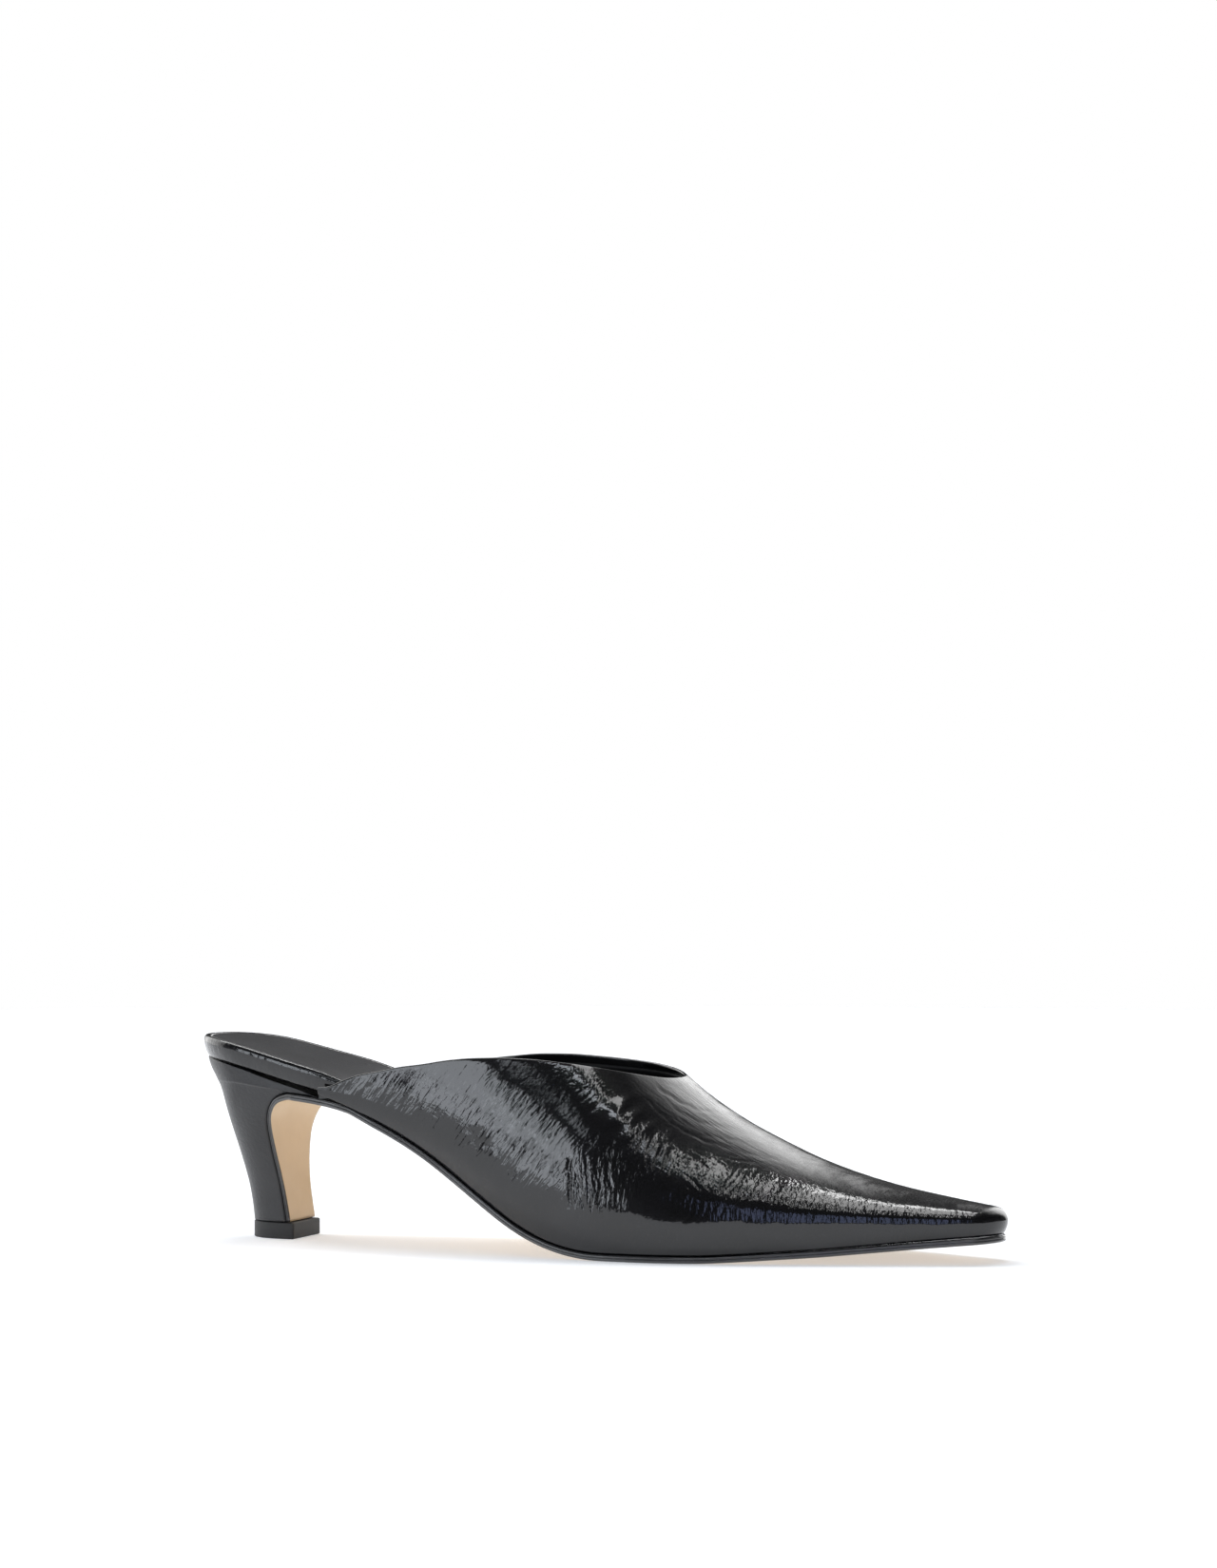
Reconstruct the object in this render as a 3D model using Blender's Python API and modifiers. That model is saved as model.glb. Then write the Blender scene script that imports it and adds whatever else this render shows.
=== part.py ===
"""A right-foot closed toe slide: a pointed mule on a mid heel, built as its maker would build it.

The shoe points along +X, +Y is the inner (medial) side and the floor is z = 0. Lengths are in metres.
Each sub-part is one object: upper, outsole, heel, top_lift, insole and sock.
"""

from collections import namedtuple
from math import acos, cos, hypot, pi, sin

import bmesh
import bpy
import numpy as np

# Driving dimensions of the shoe
SHOE_LENGTH = 0.2665
BALL_WIDTH = 0.0746
SEAT_WIDTH = 0.051
HEEL_HEIGHT = 0.0581
THROAT_HEIGHT = 0.054
VAMP_LENGTH = 0.105
TOPLINE_HEIGHT = 0.0608
TOE_SPRING = 0.0065

# Thicknesses and clearances
UPPER_WALL = 0.0016
SOLE_THICKNESS = 0.002
FLAP_THICKNESS = 0.0012
INSOLE_THICKNESS = 0.003
SEAT_BAND = 0.0057
SOCK_THICKNESS = 0.0009
LIFT_THICKNESS = 0.0053
GAP = 0.0003

# Details of the outline and the seat
SEAT_ROUND = 0.021
TOE_ROUND = 0.0052
TOE_CAP_ROUND = 0.0045
SOLE_MARGIN = 0.0008
SOLE_FLARE = 0.020
SEAT_DISH = 0.0012
SOCK_INSET = 0.0026
SOCK_TOE_GAP = 0.012
WING_TIP = 0.0505

# Heel and top lift
HEEL_TIP_WIDTH = 0.020
HEEL_TIP_BACK = 0.017
BREAST_FOOT = 0.0328
WEDGE_REACH = 0.0217
WEDGE_EDGE = 0.00084
WEDGE_SLOPE = 0.14
LIFT_OVERHANG = 0.0013
LIFT_PROUD = 0.0003
LIFT_BEVEL = 0.0003

# Shares that shape the seat and the heel: where along the shoe the thick seat thins to the board, where
# its dish runs out, how square the heel's section is, and where up the heel it turns into the seat
BAND_FADE = (0.20, 0.38)
DISH_FADE = (0.30, 0.50)
HEEL_ROUNDNESS = 2.3
SEAT_BLEND = 0.4

# Mesh densities
UPPER_COLUMNS = 48
WALL_ROWS = 3
CROWN_ROWS = 9
PLATE_RINGS = 46
PLATE_POINTS = 7
FLAP_RINGS = 26
HEEL_RINGS = 22
HEEL_SIDE_POINTS = 16
CURVE_SAMPLES = 400
COLUMN_CROWDING = 2.2
ROW_CROWDING = 1.8
THROAT_CROWDING = 1.5
FOREPART_FADE = (0.50, 0.70)
SHARP_ANGLE = 0.6

# Half widths of the insole. station is a share of SHOE_LENGTH; inner and outer are shares of the size named
OutlineRow = namedtuple("OutlineRow", "station inner outer size")
OUTLINE = (
    OutlineRow(0.000, 0.400, 0.400, SEAT_WIDTH),
    OutlineRow(0.035, 0.418, 0.418, SEAT_WIDTH),
    OutlineRow(0.075, 0.440, 0.440, SEAT_WIDTH),
    OutlineRow(0.125, 0.475, 0.475, SEAT_WIDTH),
    OutlineRow(0.175, 0.498, 0.500, SEAT_WIDTH),
    OutlineRow(0.236, 0.480, 0.508, SEAT_WIDTH),
    OutlineRow(0.296, 0.310, 0.352, BALL_WIDTH),
    OutlineRow(0.356, 0.312, 0.372, BALL_WIDTH),
    OutlineRow(0.417, 0.345, 0.410, BALL_WIDTH),
    OutlineRow(0.497, 0.405, 0.465, BALL_WIDTH),
    OutlineRow(0.558, 0.458, 0.502, BALL_WIDTH),
    OutlineRow(0.608, 0.495, 0.509, BALL_WIDTH),
    OutlineRow(0.658, 0.509, 0.485, BALL_WIDTH),
    OutlineRow(0.718, 0.484, 0.424, BALL_WIDTH),
    OutlineRow(0.789, 0.408, 0.340, BALL_WIDTH),
    OutlineRow(0.859, 0.300, 0.250, BALL_WIDTH),
    OutlineRow(0.930, 0.185, 0.158, BALL_WIDTH),
    OutlineRow(1.000, 0.070, 0.066, BALL_WIDTH),
)

# Height of the insole's underside over the standing line: rise is a share of HEEL_HEIGHT behind
# the ball, and of TOE_SPRING ahead of it. station is a share of SHOE_LENGTH
ProfileRow = namedtuple("ProfileRow", "station rise size")
PROFILE = (
    ProfileRow(0.000, 0.961, HEEL_HEIGHT),
    ProfileRow(0.025, 0.952, HEEL_HEIGHT),
    ProfileRow(0.055, 0.934, HEEL_HEIGHT),
    ProfileRow(0.085, 0.905, HEEL_HEIGHT),
    ProfileRow(0.115, 0.870, HEEL_HEIGHT),
    ProfileRow(0.145, 0.835, HEEL_HEIGHT),
    ProfileRow(0.182, 0.792, HEEL_HEIGHT),
    ProfileRow(0.227, 0.722, HEEL_HEIGHT),
    ProfileRow(0.257, 0.661, HEEL_HEIGHT),
    ProfileRow(0.295, 0.576, HEEL_HEIGHT),
    ProfileRow(0.332, 0.480, HEEL_HEIGHT),
    ProfileRow(0.369, 0.367, HEEL_HEIGHT),
    ProfileRow(0.407, 0.249, HEEL_HEIGHT),
    ProfileRow(0.437, 0.160, HEEL_HEIGHT),
    ProfileRow(0.467, 0.089, HEEL_HEIGHT),
    ProfileRow(0.497, 0.040, HEEL_HEIGHT),
    ProfileRow(0.527, 0.011, HEEL_HEIGHT),
    ProfileRow(0.554, 0.000, HEEL_HEIGHT),
    ProfileRow(0.670, 0.000, TOE_SPRING),
    ProfileRow(0.707, 0.060, TOE_SPRING),
    ProfileRow(0.753, 0.180, TOE_SPRING),
    ProfileRow(0.801, 0.310, TOE_SPRING),
    ProfileRow(0.857, 0.510, TOE_SPRING),
    ProfileRow(0.914, 0.720, TOE_SPRING),
    ProfileRow(1.000, 1.000, TOE_SPRING),
)

# Sections of the last under the upper. station is 0 at the throat, -1 at the seat's back and 1 at the toe.
# ridge is the crest's height over the floor and widest the height of the widest level over the insole's
# edge, as shares of THROAT_HEIGHT; inner and outer bulges are shares of BALL_WIDTH; square is the power
# of the section's curve, and 2 is an ellipse
SectionRow = namedtuple("SectionRow", "station ridge widest inner_bulge outer_bulge square")
SECTIONS = (
    SectionRow(-0.710, 1.850, 0.012, 0.004, 0.004, 2.4),
    SectionRow(-0.630, 1.831, 0.070, 0.012, 0.012, 2.4),
    SectionRow(-0.510, 1.778, 0.150, 0.040, 0.030, 2.4),
    SectionRow(-0.345, 1.620, 0.220, 0.060, 0.040, 2.4),
    SectionRow(-0.230, 1.491, 0.230, 0.052, 0.036, 2.3),
    SectionRow(-0.140, 1.328, 0.220, 0.040, 0.030, 2.2),
    SectionRow(-0.080, 1.200, 0.210, 0.032, 0.026, 2.1),
    SectionRow(-0.040, 1.101, 0.200, 0.028, 0.024, 2.05),
    SectionRow(0.000, 1.000, 0.190, 0.026, 0.022, 2.0),
    SectionRow(0.050, 0.920, 0.185, 0.025, 0.021, 2.0),
    SectionRow(0.100, 0.852, 0.180, 0.024, 0.020, 2.0),
    SectionRow(0.175, 0.763, 0.175, 0.023, 0.020, 2.0),
    SectionRow(0.250, 0.687, 0.170, 0.022, 0.020, 2.05),
    SectionRow(0.395, 0.558, 0.155, 0.020, 0.019, 2.1),
    SectionRow(0.540, 0.464, 0.135, 0.019, 0.018, 2.2),
    SectionRow(0.690, 0.395, 0.110, 0.018, 0.018, 2.3),
    SectionRow(0.830, 0.349, 0.085, 0.018, 0.018, 2.4),
    SectionRow(1.000, 0.300, 0.072, 0.018, 0.018, 2.5),
)

# Height of the topline over the floor on the two sides, as shares of the size named. station is 0 at
# the wing's tip and 1 at the throat
ToplineRow = namedtuple("ToplineRow", "station inner outer size")
TOPLINE = (
    ToplineRow(0.030, 0.815, 0.822, TOPLINE_HEIGHT),
    ToplineRow(0.070, 0.848, 0.855, TOPLINE_HEIGHT),
    ToplineRow(0.130, 0.882, 0.893, TOPLINE_HEIGHT),
    ToplineRow(0.185, 0.900, 0.911, TOPLINE_HEIGHT),
    ToplineRow(0.255, 0.921, 0.938, TOPLINE_HEIGHT),
    ToplineRow(0.330, 0.938, 0.957, TOPLINE_HEIGHT),
    ToplineRow(0.400, 0.953, 0.979, TOPLINE_HEIGHT),
    ToplineRow(0.485, 0.967, 0.995, TOPLINE_HEIGHT),
    ToplineRow(0.570, 0.969, 1.000, TOPLINE_HEIGHT),
    ToplineRow(0.655, 0.962, 0.996, TOPLINE_HEIGHT),
    ToplineRow(0.755, 0.950, 0.979, TOPLINE_HEIGHT),
    ToplineRow(0.845, 0.936, 0.954, TOPLINE_HEIGHT),
    ToplineRow(0.920, 0.918, 0.925, TOPLINE_HEIGHT),
    ToplineRow(1.000, 1.000, 1.000, THROAT_HEIGHT),
)

# The heel's breast, from the shank down to the top lift: height as a share of the way from the top lift
# to the shank's underside, setback behind BREAST_FOOT and half width as shares of SEAT_WIDTH
BreastRow = namedtuple("BreastRow", "height setback half_width")
BREAST = (
    BreastRow(1.000, -0.112, 0.475),
    BreastRow(0.974, -0.030, 0.445),
    BreastRow(0.916, 0.024, 0.410),
    BreastRow(0.824, 0.060, 0.360),
    BreastRow(0.703, 0.072, 0.305),
    BreastRow(0.558, 0.066, 0.262),
    BreastRow(0.382, 0.049, 0.222),
    BreastRow(0.196, 0.026, 0.200),
    BreastRow(0.000, 0.000, 0.196),
)

# The heel's back line: height as a share of the way from the top lift to the seat's back, forward of the
# seat's back as a share of HEEL_TIP_BACK
BackRow = namedtuple("BackRow", "height forward")
HEEL_BACK = (
    BackRow(0.000, 1.000),
    BackRow(0.179, 0.923),
    BackRow(0.370, 0.783),
    BackRow(0.560, 0.617),
    BackRow(0.712, 0.465),
    BackRow(0.846, 0.296),
    BackRow(0.941, 0.075),
    BackRow(1.000, 0.000),
)

# Places that follow from the sizes: the insole's toe lies inside the upper's wall and its bulge there
LAST_LENGTH = SHOE_LENGTH - UPPER_WALL - GAP - SECTIONS[-1].inner_bulge * BALL_WIDTH
THROAT_STATION = SHOE_LENGTH - VAMP_LENGTH
WEDGE_TIP = BREAST_FOOT + WEDGE_REACH
HEEL_BASE = LIFT_THICKNESS + GAP


def smooth_curve(places, values):
    """A smooth function through the given values that makes no new peaks between them."""
    places, values = np.asarray(places, float), np.asarray(values, float)
    steps = np.diff(places)
    rises = np.diff(values) / steps
    slopes = np.zeros(len(places))
    slopes[0], slopes[-1] = rises[0], rises[-1]
    same_way = rises[:-1] * rises[1:] > 0
    before, after = 2 * steps[1:] + steps[:-1], steps[1:] + 2 * steps[:-1]
    with np.errstate(divide="ignore", invalid="ignore"):
        blended = (before + after) / (before / rises[:-1] + after / rises[1:])
    slopes[1:-1] = np.where(same_way, blended, 0.0)

    def value(place):
        place = float(np.clip(place, places[0], places[-1]))
        i = int(np.clip(np.searchsorted(places, place) - 1, 0, len(steps) - 1))
        t = (place - places[i]) / steps[i]
        start = (1 + 2 * t) * (1 - t) ** 2 * values[i] + t * (1 - t) ** 2 * steps[i] * slopes[i]
        end = t * t * (3 - 2 * t) * values[i + 1] + t * t * (t - 1) * steps[i] * slopes[i + 1]
        return start + end

    return value


def ease(t):
    """A soft step from 0 to 1."""
    t = min(max(t, 0.0), 1.0)
    return t * t * (3 - 2 * t)


def mix(a, b, t):
    return a + (b - a) * t


def fade(x, stations):
    """A soft step between two stations, which are shares of SHOE_LENGTH."""
    start, end = stations
    return ease((x / SHOE_LENGTH - start) / (end - start))


# The outline of the insole
SIGN = {"inner": 1, "outer": -1}


def outline_curve(side):
    return smooth_curve(
        [row.station * SHOE_LENGTH for row in OUTLINE],
        [getattr(row, side) * row.size for row in OUTLINE],
    )


HALF_WIDTH = {side: outline_curve(side) for side in SIGN}


def half_width(x, side):
    """Half width of the insole at x, rounded off at the seat and at the toe."""
    x = min(max(x, 0.0), LAST_LENGTH)
    back = max(0.0, 1 - x / SEAT_ROUND)
    front = max(0.0, 1 - (LAST_LENGTH - x) / TOE_ROUND)
    rounding = (1 - back**2) ** 0.5 * max(0.0, 1 - front**2) ** 0.5
    return HALF_WIDTH[side](x) * rounding


def outline_place(u):
    """x along the insole for u from 0 at the seat's back to 1 at the toe, closer at both ends."""
    return LAST_LENGTH * (1 - cos(pi * u)) / 2


def outline_point(u, side, offset):
    """A point on the insole's outline moved outward by offset: x and signed y."""
    step = 1e-3
    u0, u1 = max(u - step, 0.0), min(u + step, 1.0)
    along = outline_place(u1) - outline_place(u0)
    outward = half_width(outline_place(u1), side) - half_width(outline_place(u0), side)
    if u < step:
        along, outward = 0.0, 1.0
    if u > 1 - step:
        along, outward = 0.0, -1.0
    length = (along**2 + outward**2) ** 0.5
    x = outline_place(u) - offset * outward / length
    y = half_width(outline_place(u), side) + offset * along / length
    return x, SIGN[side] * y


# Heights along the shoe
SOLE_RISE = smooth_curve(
    [row.station * SHOE_LENGTH for row in PROFILE],
    [row.rise * row.size for row in PROFILE],
)


def lean(x):
    """1 / cos of the sole's slope at x, which turns a thickness into a height."""
    step = 1e-3
    slope = (SOLE_RISE(x + step) - SOLE_RISE(x - step)) / (2 * step)
    return (1 + slope**2) ** 0.5


def seat_line(x):
    """Height of the insole's underside at x."""
    return SOLE_RISE(x) + SOLE_THICKNESS + GAP


def sole_top(x):
    """Height of the outsole's upper face, which leaves the seat line to make room for the heel's wedge."""
    wedge = max(0.0, WEDGE_EDGE + (WEDGE_TIP - x) * WEDGE_SLOPE)
    return seat_line(x) - GAP * lean(x) - wedge


def sole_underside(x):
    return sole_top(x) - SOLE_THICKNESS * lean(x)


def insole_top(x, y):
    """Height of the insole's upper face: thick at the wrapped seat, with a shallow dish for the heel."""
    half = HALF_WIDTH["inner" if y > 0 else "outer"](x)
    from_middle = min(hypot(y / half, max(0.0, 1 - x / SEAT_ROUND)), 1.0)
    thickness = mix(SEAT_BAND, INSOLE_THICKNESS, fade(x, BAND_FADE))
    dish = SEAT_DISH * (1 - from_middle**2) * (1 - fade(x, DISH_FADE))
    return seat_line(x) + thickness - dish


# The upper's sections
def section_place(station):
    """x for a station that is 0 at the throat, -1 at the seat's back and 1 at the toe."""
    return THROAT_STATION + station * (VAMP_LENGTH if station > 0 else THROAT_STATION)


STATIONS = [section_place(row.station) for row in SECTIONS]
RIDGE = smooth_curve(STATIONS, [row.ridge * THROAT_HEIGHT for row in SECTIONS])
WIDEST = smooth_curve(STATIONS, [row.widest * THROAT_HEIGHT for row in SECTIONS])
SQUARE = smooth_curve(STATIONS, [row.square for row in SECTIONS])
BULGE = {
    side: smooth_curve(STATIONS, [getattr(row, side + "_bulge") * BALL_WIDTH for row in SECTIONS])
    for side in SIGN
}
TOPLINE_OF = {
    side: smooth_curve(
        [mix(WING_TIP, THROAT_STATION, row.station) for row in TOPLINE],
        [getattr(row, side) * row.size for row in TOPLINE],
    )
    for side in SIGN
}
OUTSIDE = GAP + UPPER_WALL
OUTLINE_SAMPLES = np.linspace(0, 1, CURVE_SAMPLES)
WIDE_OUTLINE = {
    side: np.array(
        [outline_point(u, side, OUTSIDE + BULGE[side](outline_place(u))) for u in OUTLINE_SAMPLES]
    )
    for side in SIGN
}
TOE_TIP = WIDE_OUTLINE["inner"][-1][0]


def wide_half(x, side):
    """Half width of the upper at its widest level."""
    points = WIDE_OUTLINE[side]
    return float(np.interp(x, points[:, 0], np.abs(points[:, 1])))


def widest_level(x):
    return seat_line(x) + WIDEST(x)


def ridge_height(x):
    """Height of the crest, rounded down to the widest level at the tip of the toe."""
    front = max(0.0, 1 - (TOE_TIP - x) / TOE_CAP_ROUND)
    return mix(widest_level(x), RIDGE(x), max(0.0, 1 - front**2) ** 0.5)


def turn_at(x, y, side):
    """Angle up the crown's section, from 0 at the widest level to a right angle on the crest."""
    wide = wide_half(x, side)
    share = min(abs(y) / wide, 1.0) if wide > 0 else 0.0
    return acos(share ** (SQUARE(x) / 2))


def crown_point(x, turn, side):
    """The point of the last's crown at station x and this angle up its section."""
    power = 2 / SQUARE(x)
    rise = ridge_height(x) - widest_level(x)
    y = wide_half(x, side) * max(0.0, cos(turn)) ** power
    return x, SIGN[side] * y, widest_level(x) + rise * sin(turn) ** power


def topline_half(x, side):
    """Half width of the opening: where the last reaches the topline's height."""
    rise = ridge_height(x) - widest_level(x)
    share = (TOPLINE_OF[side](x) - widest_level(x)) / rise
    power = SQUARE(x)
    return wide_half(x, side) * max(0.0, 1 - min(share, 1.0) ** power) ** (1 / power)


def evenly_spaced(points, places):
    """Points at the given shares of a polyline's length."""
    points = np.array(points)
    lengths = np.concatenate([[0], np.cumsum(np.linalg.norm(np.diff(points, axis=0), axis=1))])
    wanted = np.asarray(places) * lengths[-1]
    return np.stack([np.interp(wanted, lengths, points[:, i]) for i in range(points.shape[1])], axis=1)


def topline_points(side, places):
    """Plan points of the topline from the throat back to the wing's tip."""
    xs = [mix(THROAT_STATION, WING_TIP, t * t) for t in np.linspace(0, 1, CURVE_SAMPLES)]
    ys = [0.0] + [topline_half(x, side) for x in xs[1:]]
    return evenly_spaced(list(zip(xs, ys)), places)


def edge_places(side, places):
    """Outline parameters u from the toe back to the wing's tip, at shares of the edge's length."""
    us = [u for u in OUTLINE_SAMPLES if outline_place(u) >= WING_TIP][::-1]
    points = [(*outline_point(u, side, OUTSIDE), u) for u in us]
    plan = np.array(points)[:, :2]
    lengths = np.concatenate([[0], np.cumsum(np.linalg.norm(np.diff(plan, axis=0), axis=1))])
    return np.interp(np.asarray(places) * lengths[-1], lengths, us)


def toe_weighted(count):
    """Shares from 0 to 1 that lie closer together at the toe."""
    return np.sinh(COLUMN_CROWDING * np.linspace(0, 1, count + 1)) / np.sinh(COLUMN_CROWDING)


def upper_column(u, top, side):
    """Points of one column, from the sole's edge over the widest level to the topline or throat."""
    x_edge = outline_place(u)
    bulge = BULGE[side](x_edge)
    column = []
    for row in range(WALL_ROWS):
        t = row / WALL_ROWS
        x, y = outline_point(u, side, OUTSIDE + bulge * (1 - (1 - t) ** 2))
        column.append((x, y, mix(seat_line(x), widest_level(x), t)))
    start = outline_point(u, side, OUTSIDE + bulge)
    forepart = fade(x_edge, FOREPART_FADE)
    top_turn = turn_at(*top, side)
    column.append(crown_point(start[0], 0.0, side))
    for row in range(1, CROWN_ROWS + 1):
        even = row / CROWN_ROWS
        plan = even**ROW_CROWDING
        plan_x = mix(start[0], top[0], plan)
        plan_turn = turn_at(plan_x, mix(abs(start[1]), top[1], plan), side)
        x = mix(mix(start[0], top[0], even), plan_x, forepart)
        column.append(crown_point(x, mix(top_turn * even, plan_turn, forepart), side))
    return column


def upper_grid():
    """Columns of the upper's outer face from the inner wing round the toe to the outer wing."""
    shares = toe_weighted(UPPER_COLUMNS)
    columns = []
    for side in SIGN:
        tops = topline_points(side, shares**THROAT_CROWDING)
        edges = edge_places(side, shares)
        columns.append([upper_column(u, top, side) for u, top in zip(edges, tops)])
    return columns[0][::-1] + columns[1][1:]


# Mesh helpers
def material(name, colour, roughness, metallic=0.0):
    made = bpy.data.materials.new(name)
    made.use_nodes = True
    shader = made.node_tree.nodes["Principled BSDF"]
    shader.inputs["Base Color"].default_value = (*colour, 1)
    shader.inputs["Roughness"].default_value = roughness
    shader.inputs["Metallic"].default_value = metallic
    return made


def object_from(mesh_data, name, finish, collection):
    """Turns a bmesh into a named object with one material and smooth shading."""
    bmesh.ops.recalc_face_normals(mesh_data, faces=mesh_data.faces)
    mesh = bpy.data.meshes.new(name)
    mesh_data.to_mesh(mesh)
    mesh_data.free()
    mesh.materials.append(finish)
    mesh.shade_smooth()
    mesh.set_sharp_from_angle(angle=SHARP_ANGLE)
    made = bpy.data.objects.new(name, mesh)
    collection.objects.link(made)
    return made


def sheet(columns):
    """An open surface through a grid of points."""
    made = bmesh.new()
    rows = [[made.verts.new(point) for point in column] for column in columns]
    for left, right in zip(rows, rows[1:]):
        for i in range(len(left) - 1):
            made.faces.new((left[i], right[i], right[i + 1], left[i + 1]))
    return made


def loft(rings):
    """A closed skin through rings of equal length, whose two ends pair off left and right points."""
    made = bmesh.new()
    rows = [[made.verts.new(point) for point in ring] for ring in rings]
    count = len(rows[0])
    for lower, higher in zip(rows, rows[1:]):
        for i in range(count):
            j = (i + 1) % count
            made.faces.new((lower[i], lower[j], higher[j], higher[i]))
    for end in (rows[0], rows[-1]):
        for i in range(count // 2 - 1):
            made.faces.new((end[i], end[i + 1], end[-2 - i], end[-1 - i]))
    return made


def loft_round(rings):
    """A closed skin through rings that run from a back point round one side and back up the other."""
    made = bmesh.new()
    rows = [[made.verts.new(point) for point in ring] for ring in rings]
    count = len(rows[0])
    for lower, higher in zip(rows, rows[1:]):
        for i in range(count):
            j = (i + 1) % count
            made.faces.new((lower[i], lower[j], higher[j], higher[i]))
    for end in (rows[0], rows[-1]):
        made.faces.new((end[0], end[1], end[-1]))
        for i in range(1, count // 2):
            made.faces.new((end[i], end[i + 1], end[-1 - i], end[-i]))
    return made


def plate_ring(u, offset, top, bottom):
    """A section across a plate: its top from the inner to the outer side, and its bottom back again."""
    inner, outer = outline_point(u, "inner", offset), outline_point(u, "outer", offset)
    shares = np.linspace(0, 1, PLATE_POINTS)
    plan = [(mix(inner[0], outer[0], t), mix(inner[1], outer[1], t)) for t in shares]
    over = [(x, y, top(x, y)) for x, y in plan]
    under = [(x, y, bottom(x, y)) for x, y in plan]
    return over + under[::-1]


def plate_places():
    """Outline parameters of a plate's sections, from the seat's back to the toe."""
    return [(i + 0.5) / PLATE_RINGS for i in range(PLATE_RINGS)]


# Sub-parts
def build_upper(finish, collection):
    """The vamp with its two wings: an open shell, whose wall lies inside its outer face."""
    made = object_from(sheet(upper_grid()), "upper", finish, collection)
    wall = made.modifiers.new("wall", "SOLIDIFY")
    wall.thickness = UPPER_WALL
    wall.offset = -1
    wall.use_even_offset = True
    return made


def build_insole(finish, collection):
    """The board, thick and wrapped at the seat, with a shallow dish for the heel."""
    rings = [plate_ring(u, 0, insole_top, lambda x, y: seat_line(x)) for u in plate_places()]
    return object_from(loft(rings), "insole", finish, collection)


def sock_underside(x, y):
    return insole_top(x, y) + GAP


def sock_top(x, y):
    return sock_underside(x, y) + SOCK_THICKNESS


def build_sock(finish, collection):
    """The thin sock lining on the insole, a little inside its edge."""
    rings = []
    for u in plate_places():
        x, half = outline_point(u, "inner", -SOCK_INSET)
        if half > SOCK_INSET / 2 and x < LAST_LENGTH - SOCK_TOE_GAP:
            rings.append(plate_ring(u, -SOCK_INSET, sock_top, sock_underside))
    return object_from(loft(rings), "sock", finish, collection)


# The breast: the outsole's path from the shank round the turn and down the heel's front
BREAST_TOP = BREAST_FOOT - BREAST[0].setback * SEAT_WIDTH
LEAD_PLACES = [mix(BREAST_TOP, BREAST_FOOT, share) for share in (-0.5, -0.25)]
BREAST_PATH = [(x, sole_underside(x), half_width(x, "inner")) for x in LEAD_PLACES] + [
    (
        BREAST_FOOT - row.setback * SEAT_WIDTH,
        mix(HEEL_BASE, sole_underside(BREAST_TOP), row.height),
        row.half_width * SEAT_WIDTH,
    )
    for row in BREAST
]
BREAST_X, BREAST_Z, BREAST_HALF = (
    smooth_curve(range(len(BREAST_PATH)), [point[i] for point in BREAST_PATH]) for i in range(3)
)
LEAD_ROWS = len(LEAD_PLACES)
TURN_ROWS = 3
LAST_ROW = len(BREAST_PATH) - 1


def breast_point(t, depth):
    """A point of the breast's path at table row t, moved by depth from the front face toward the heel."""
    step = 0.01
    t0, t1 = max(t - step, 0), min(t + step, LAST_ROW)
    along = np.array([BREAST_X(t1) - BREAST_X(t0), BREAST_Z(t1) - BREAST_Z(t0)])
    along /= np.linalg.norm(along)
    return BREAST_X(t) + depth * along[1], BREAST_Z(t) - depth * along[0]


def flap_thickness(t):
    """The sole is skived from its full thickness to the flap's over the turn."""
    return mix(SOLE_THICKNESS, FLAP_THICKNESS, ease((t - LEAD_ROWS) / TURN_ROWS))


def flap_ring(t):
    """A section across the flap at table row t: along its back face, and back along its front face."""
    front_x, front_z = breast_point(t, 0)
    back_x, back_z = breast_point(t, flap_thickness(t))
    if t == LAST_ROW:
        back_z = front_z
    lateral = [BREAST_HALF(t) * share for share in np.linspace(1, -1, PLATE_POINTS)]
    return [(back_x, y, back_z) for y in lateral] + [(front_x, y, front_z) for y in lateral[::-1]]


def sole_offset(x):
    """How far the outsole's edge stands outside the insole's outline: nothing where it meets the heel."""
    return (OUTSIDE + SOLE_MARGIN) * ease((x - WING_TIP) / SOLE_FLARE)


def build_outsole(finish, collection):
    """The leather sole: forepart, shank and the flap that it turns down over the heel's breast."""
    rings = []
    for u in reversed(plate_places()):
        x = outline_place(u)
        if x > LEAD_PLACES[0]:
            faces = (lambda x, y: sole_top(x), lambda x, y: sole_underside(x))
            rings.append(plate_ring(u, sole_offset(x), *faces))
    rings += [flap_ring(t) for t in np.linspace(0, LAST_ROW, FLAP_RINGS)]
    return object_from(loft(rings), "outsole", finish, collection)


def heel_seat(x):
    """Height of the heel's upper face, just under the insole."""
    return seat_line(x) - GAP * lean(x)


def heel_front_points():
    """x, z and the two half widths along the heel's front: up behind the flap, then over the shank."""
    points = []
    for t in np.linspace(LAST_ROW, LEAD_ROWS, CURVE_SAMPLES):
        x, z = breast_point(t, flap_thickness(t) + GAP)
        points.append((x, HEEL_BASE if t == LAST_ROW else z, BREAST_HALF(t), BREAST_HALF(t)))
    for x in np.linspace(points[-1][0], WEDGE_TIP, CURVE_SAMPLES)[1:]:
        points.append((x, sole_top(x) + GAP * lean(x), half_width(x, "inner"), half_width(x, "outer")))
    return points


def heel_back_points():
    forward = smooth_curve([row.height for row in HEEL_BACK], [row.forward for row in HEEL_BACK])
    shares = np.linspace(0, 1, CURVE_SAMPLES)
    return [(forward(s) * HEEL_TIP_BACK, mix(HEEL_BASE, heel_seat(0), s)) for s in shares]


def rounded_share(share, power):
    """Half width of a D-shaped section, as a share, from 0 at its round back to 1 at its flat front."""
    return max(0.0, 1 - (1 - share) ** power) ** (1 / power)


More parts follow.
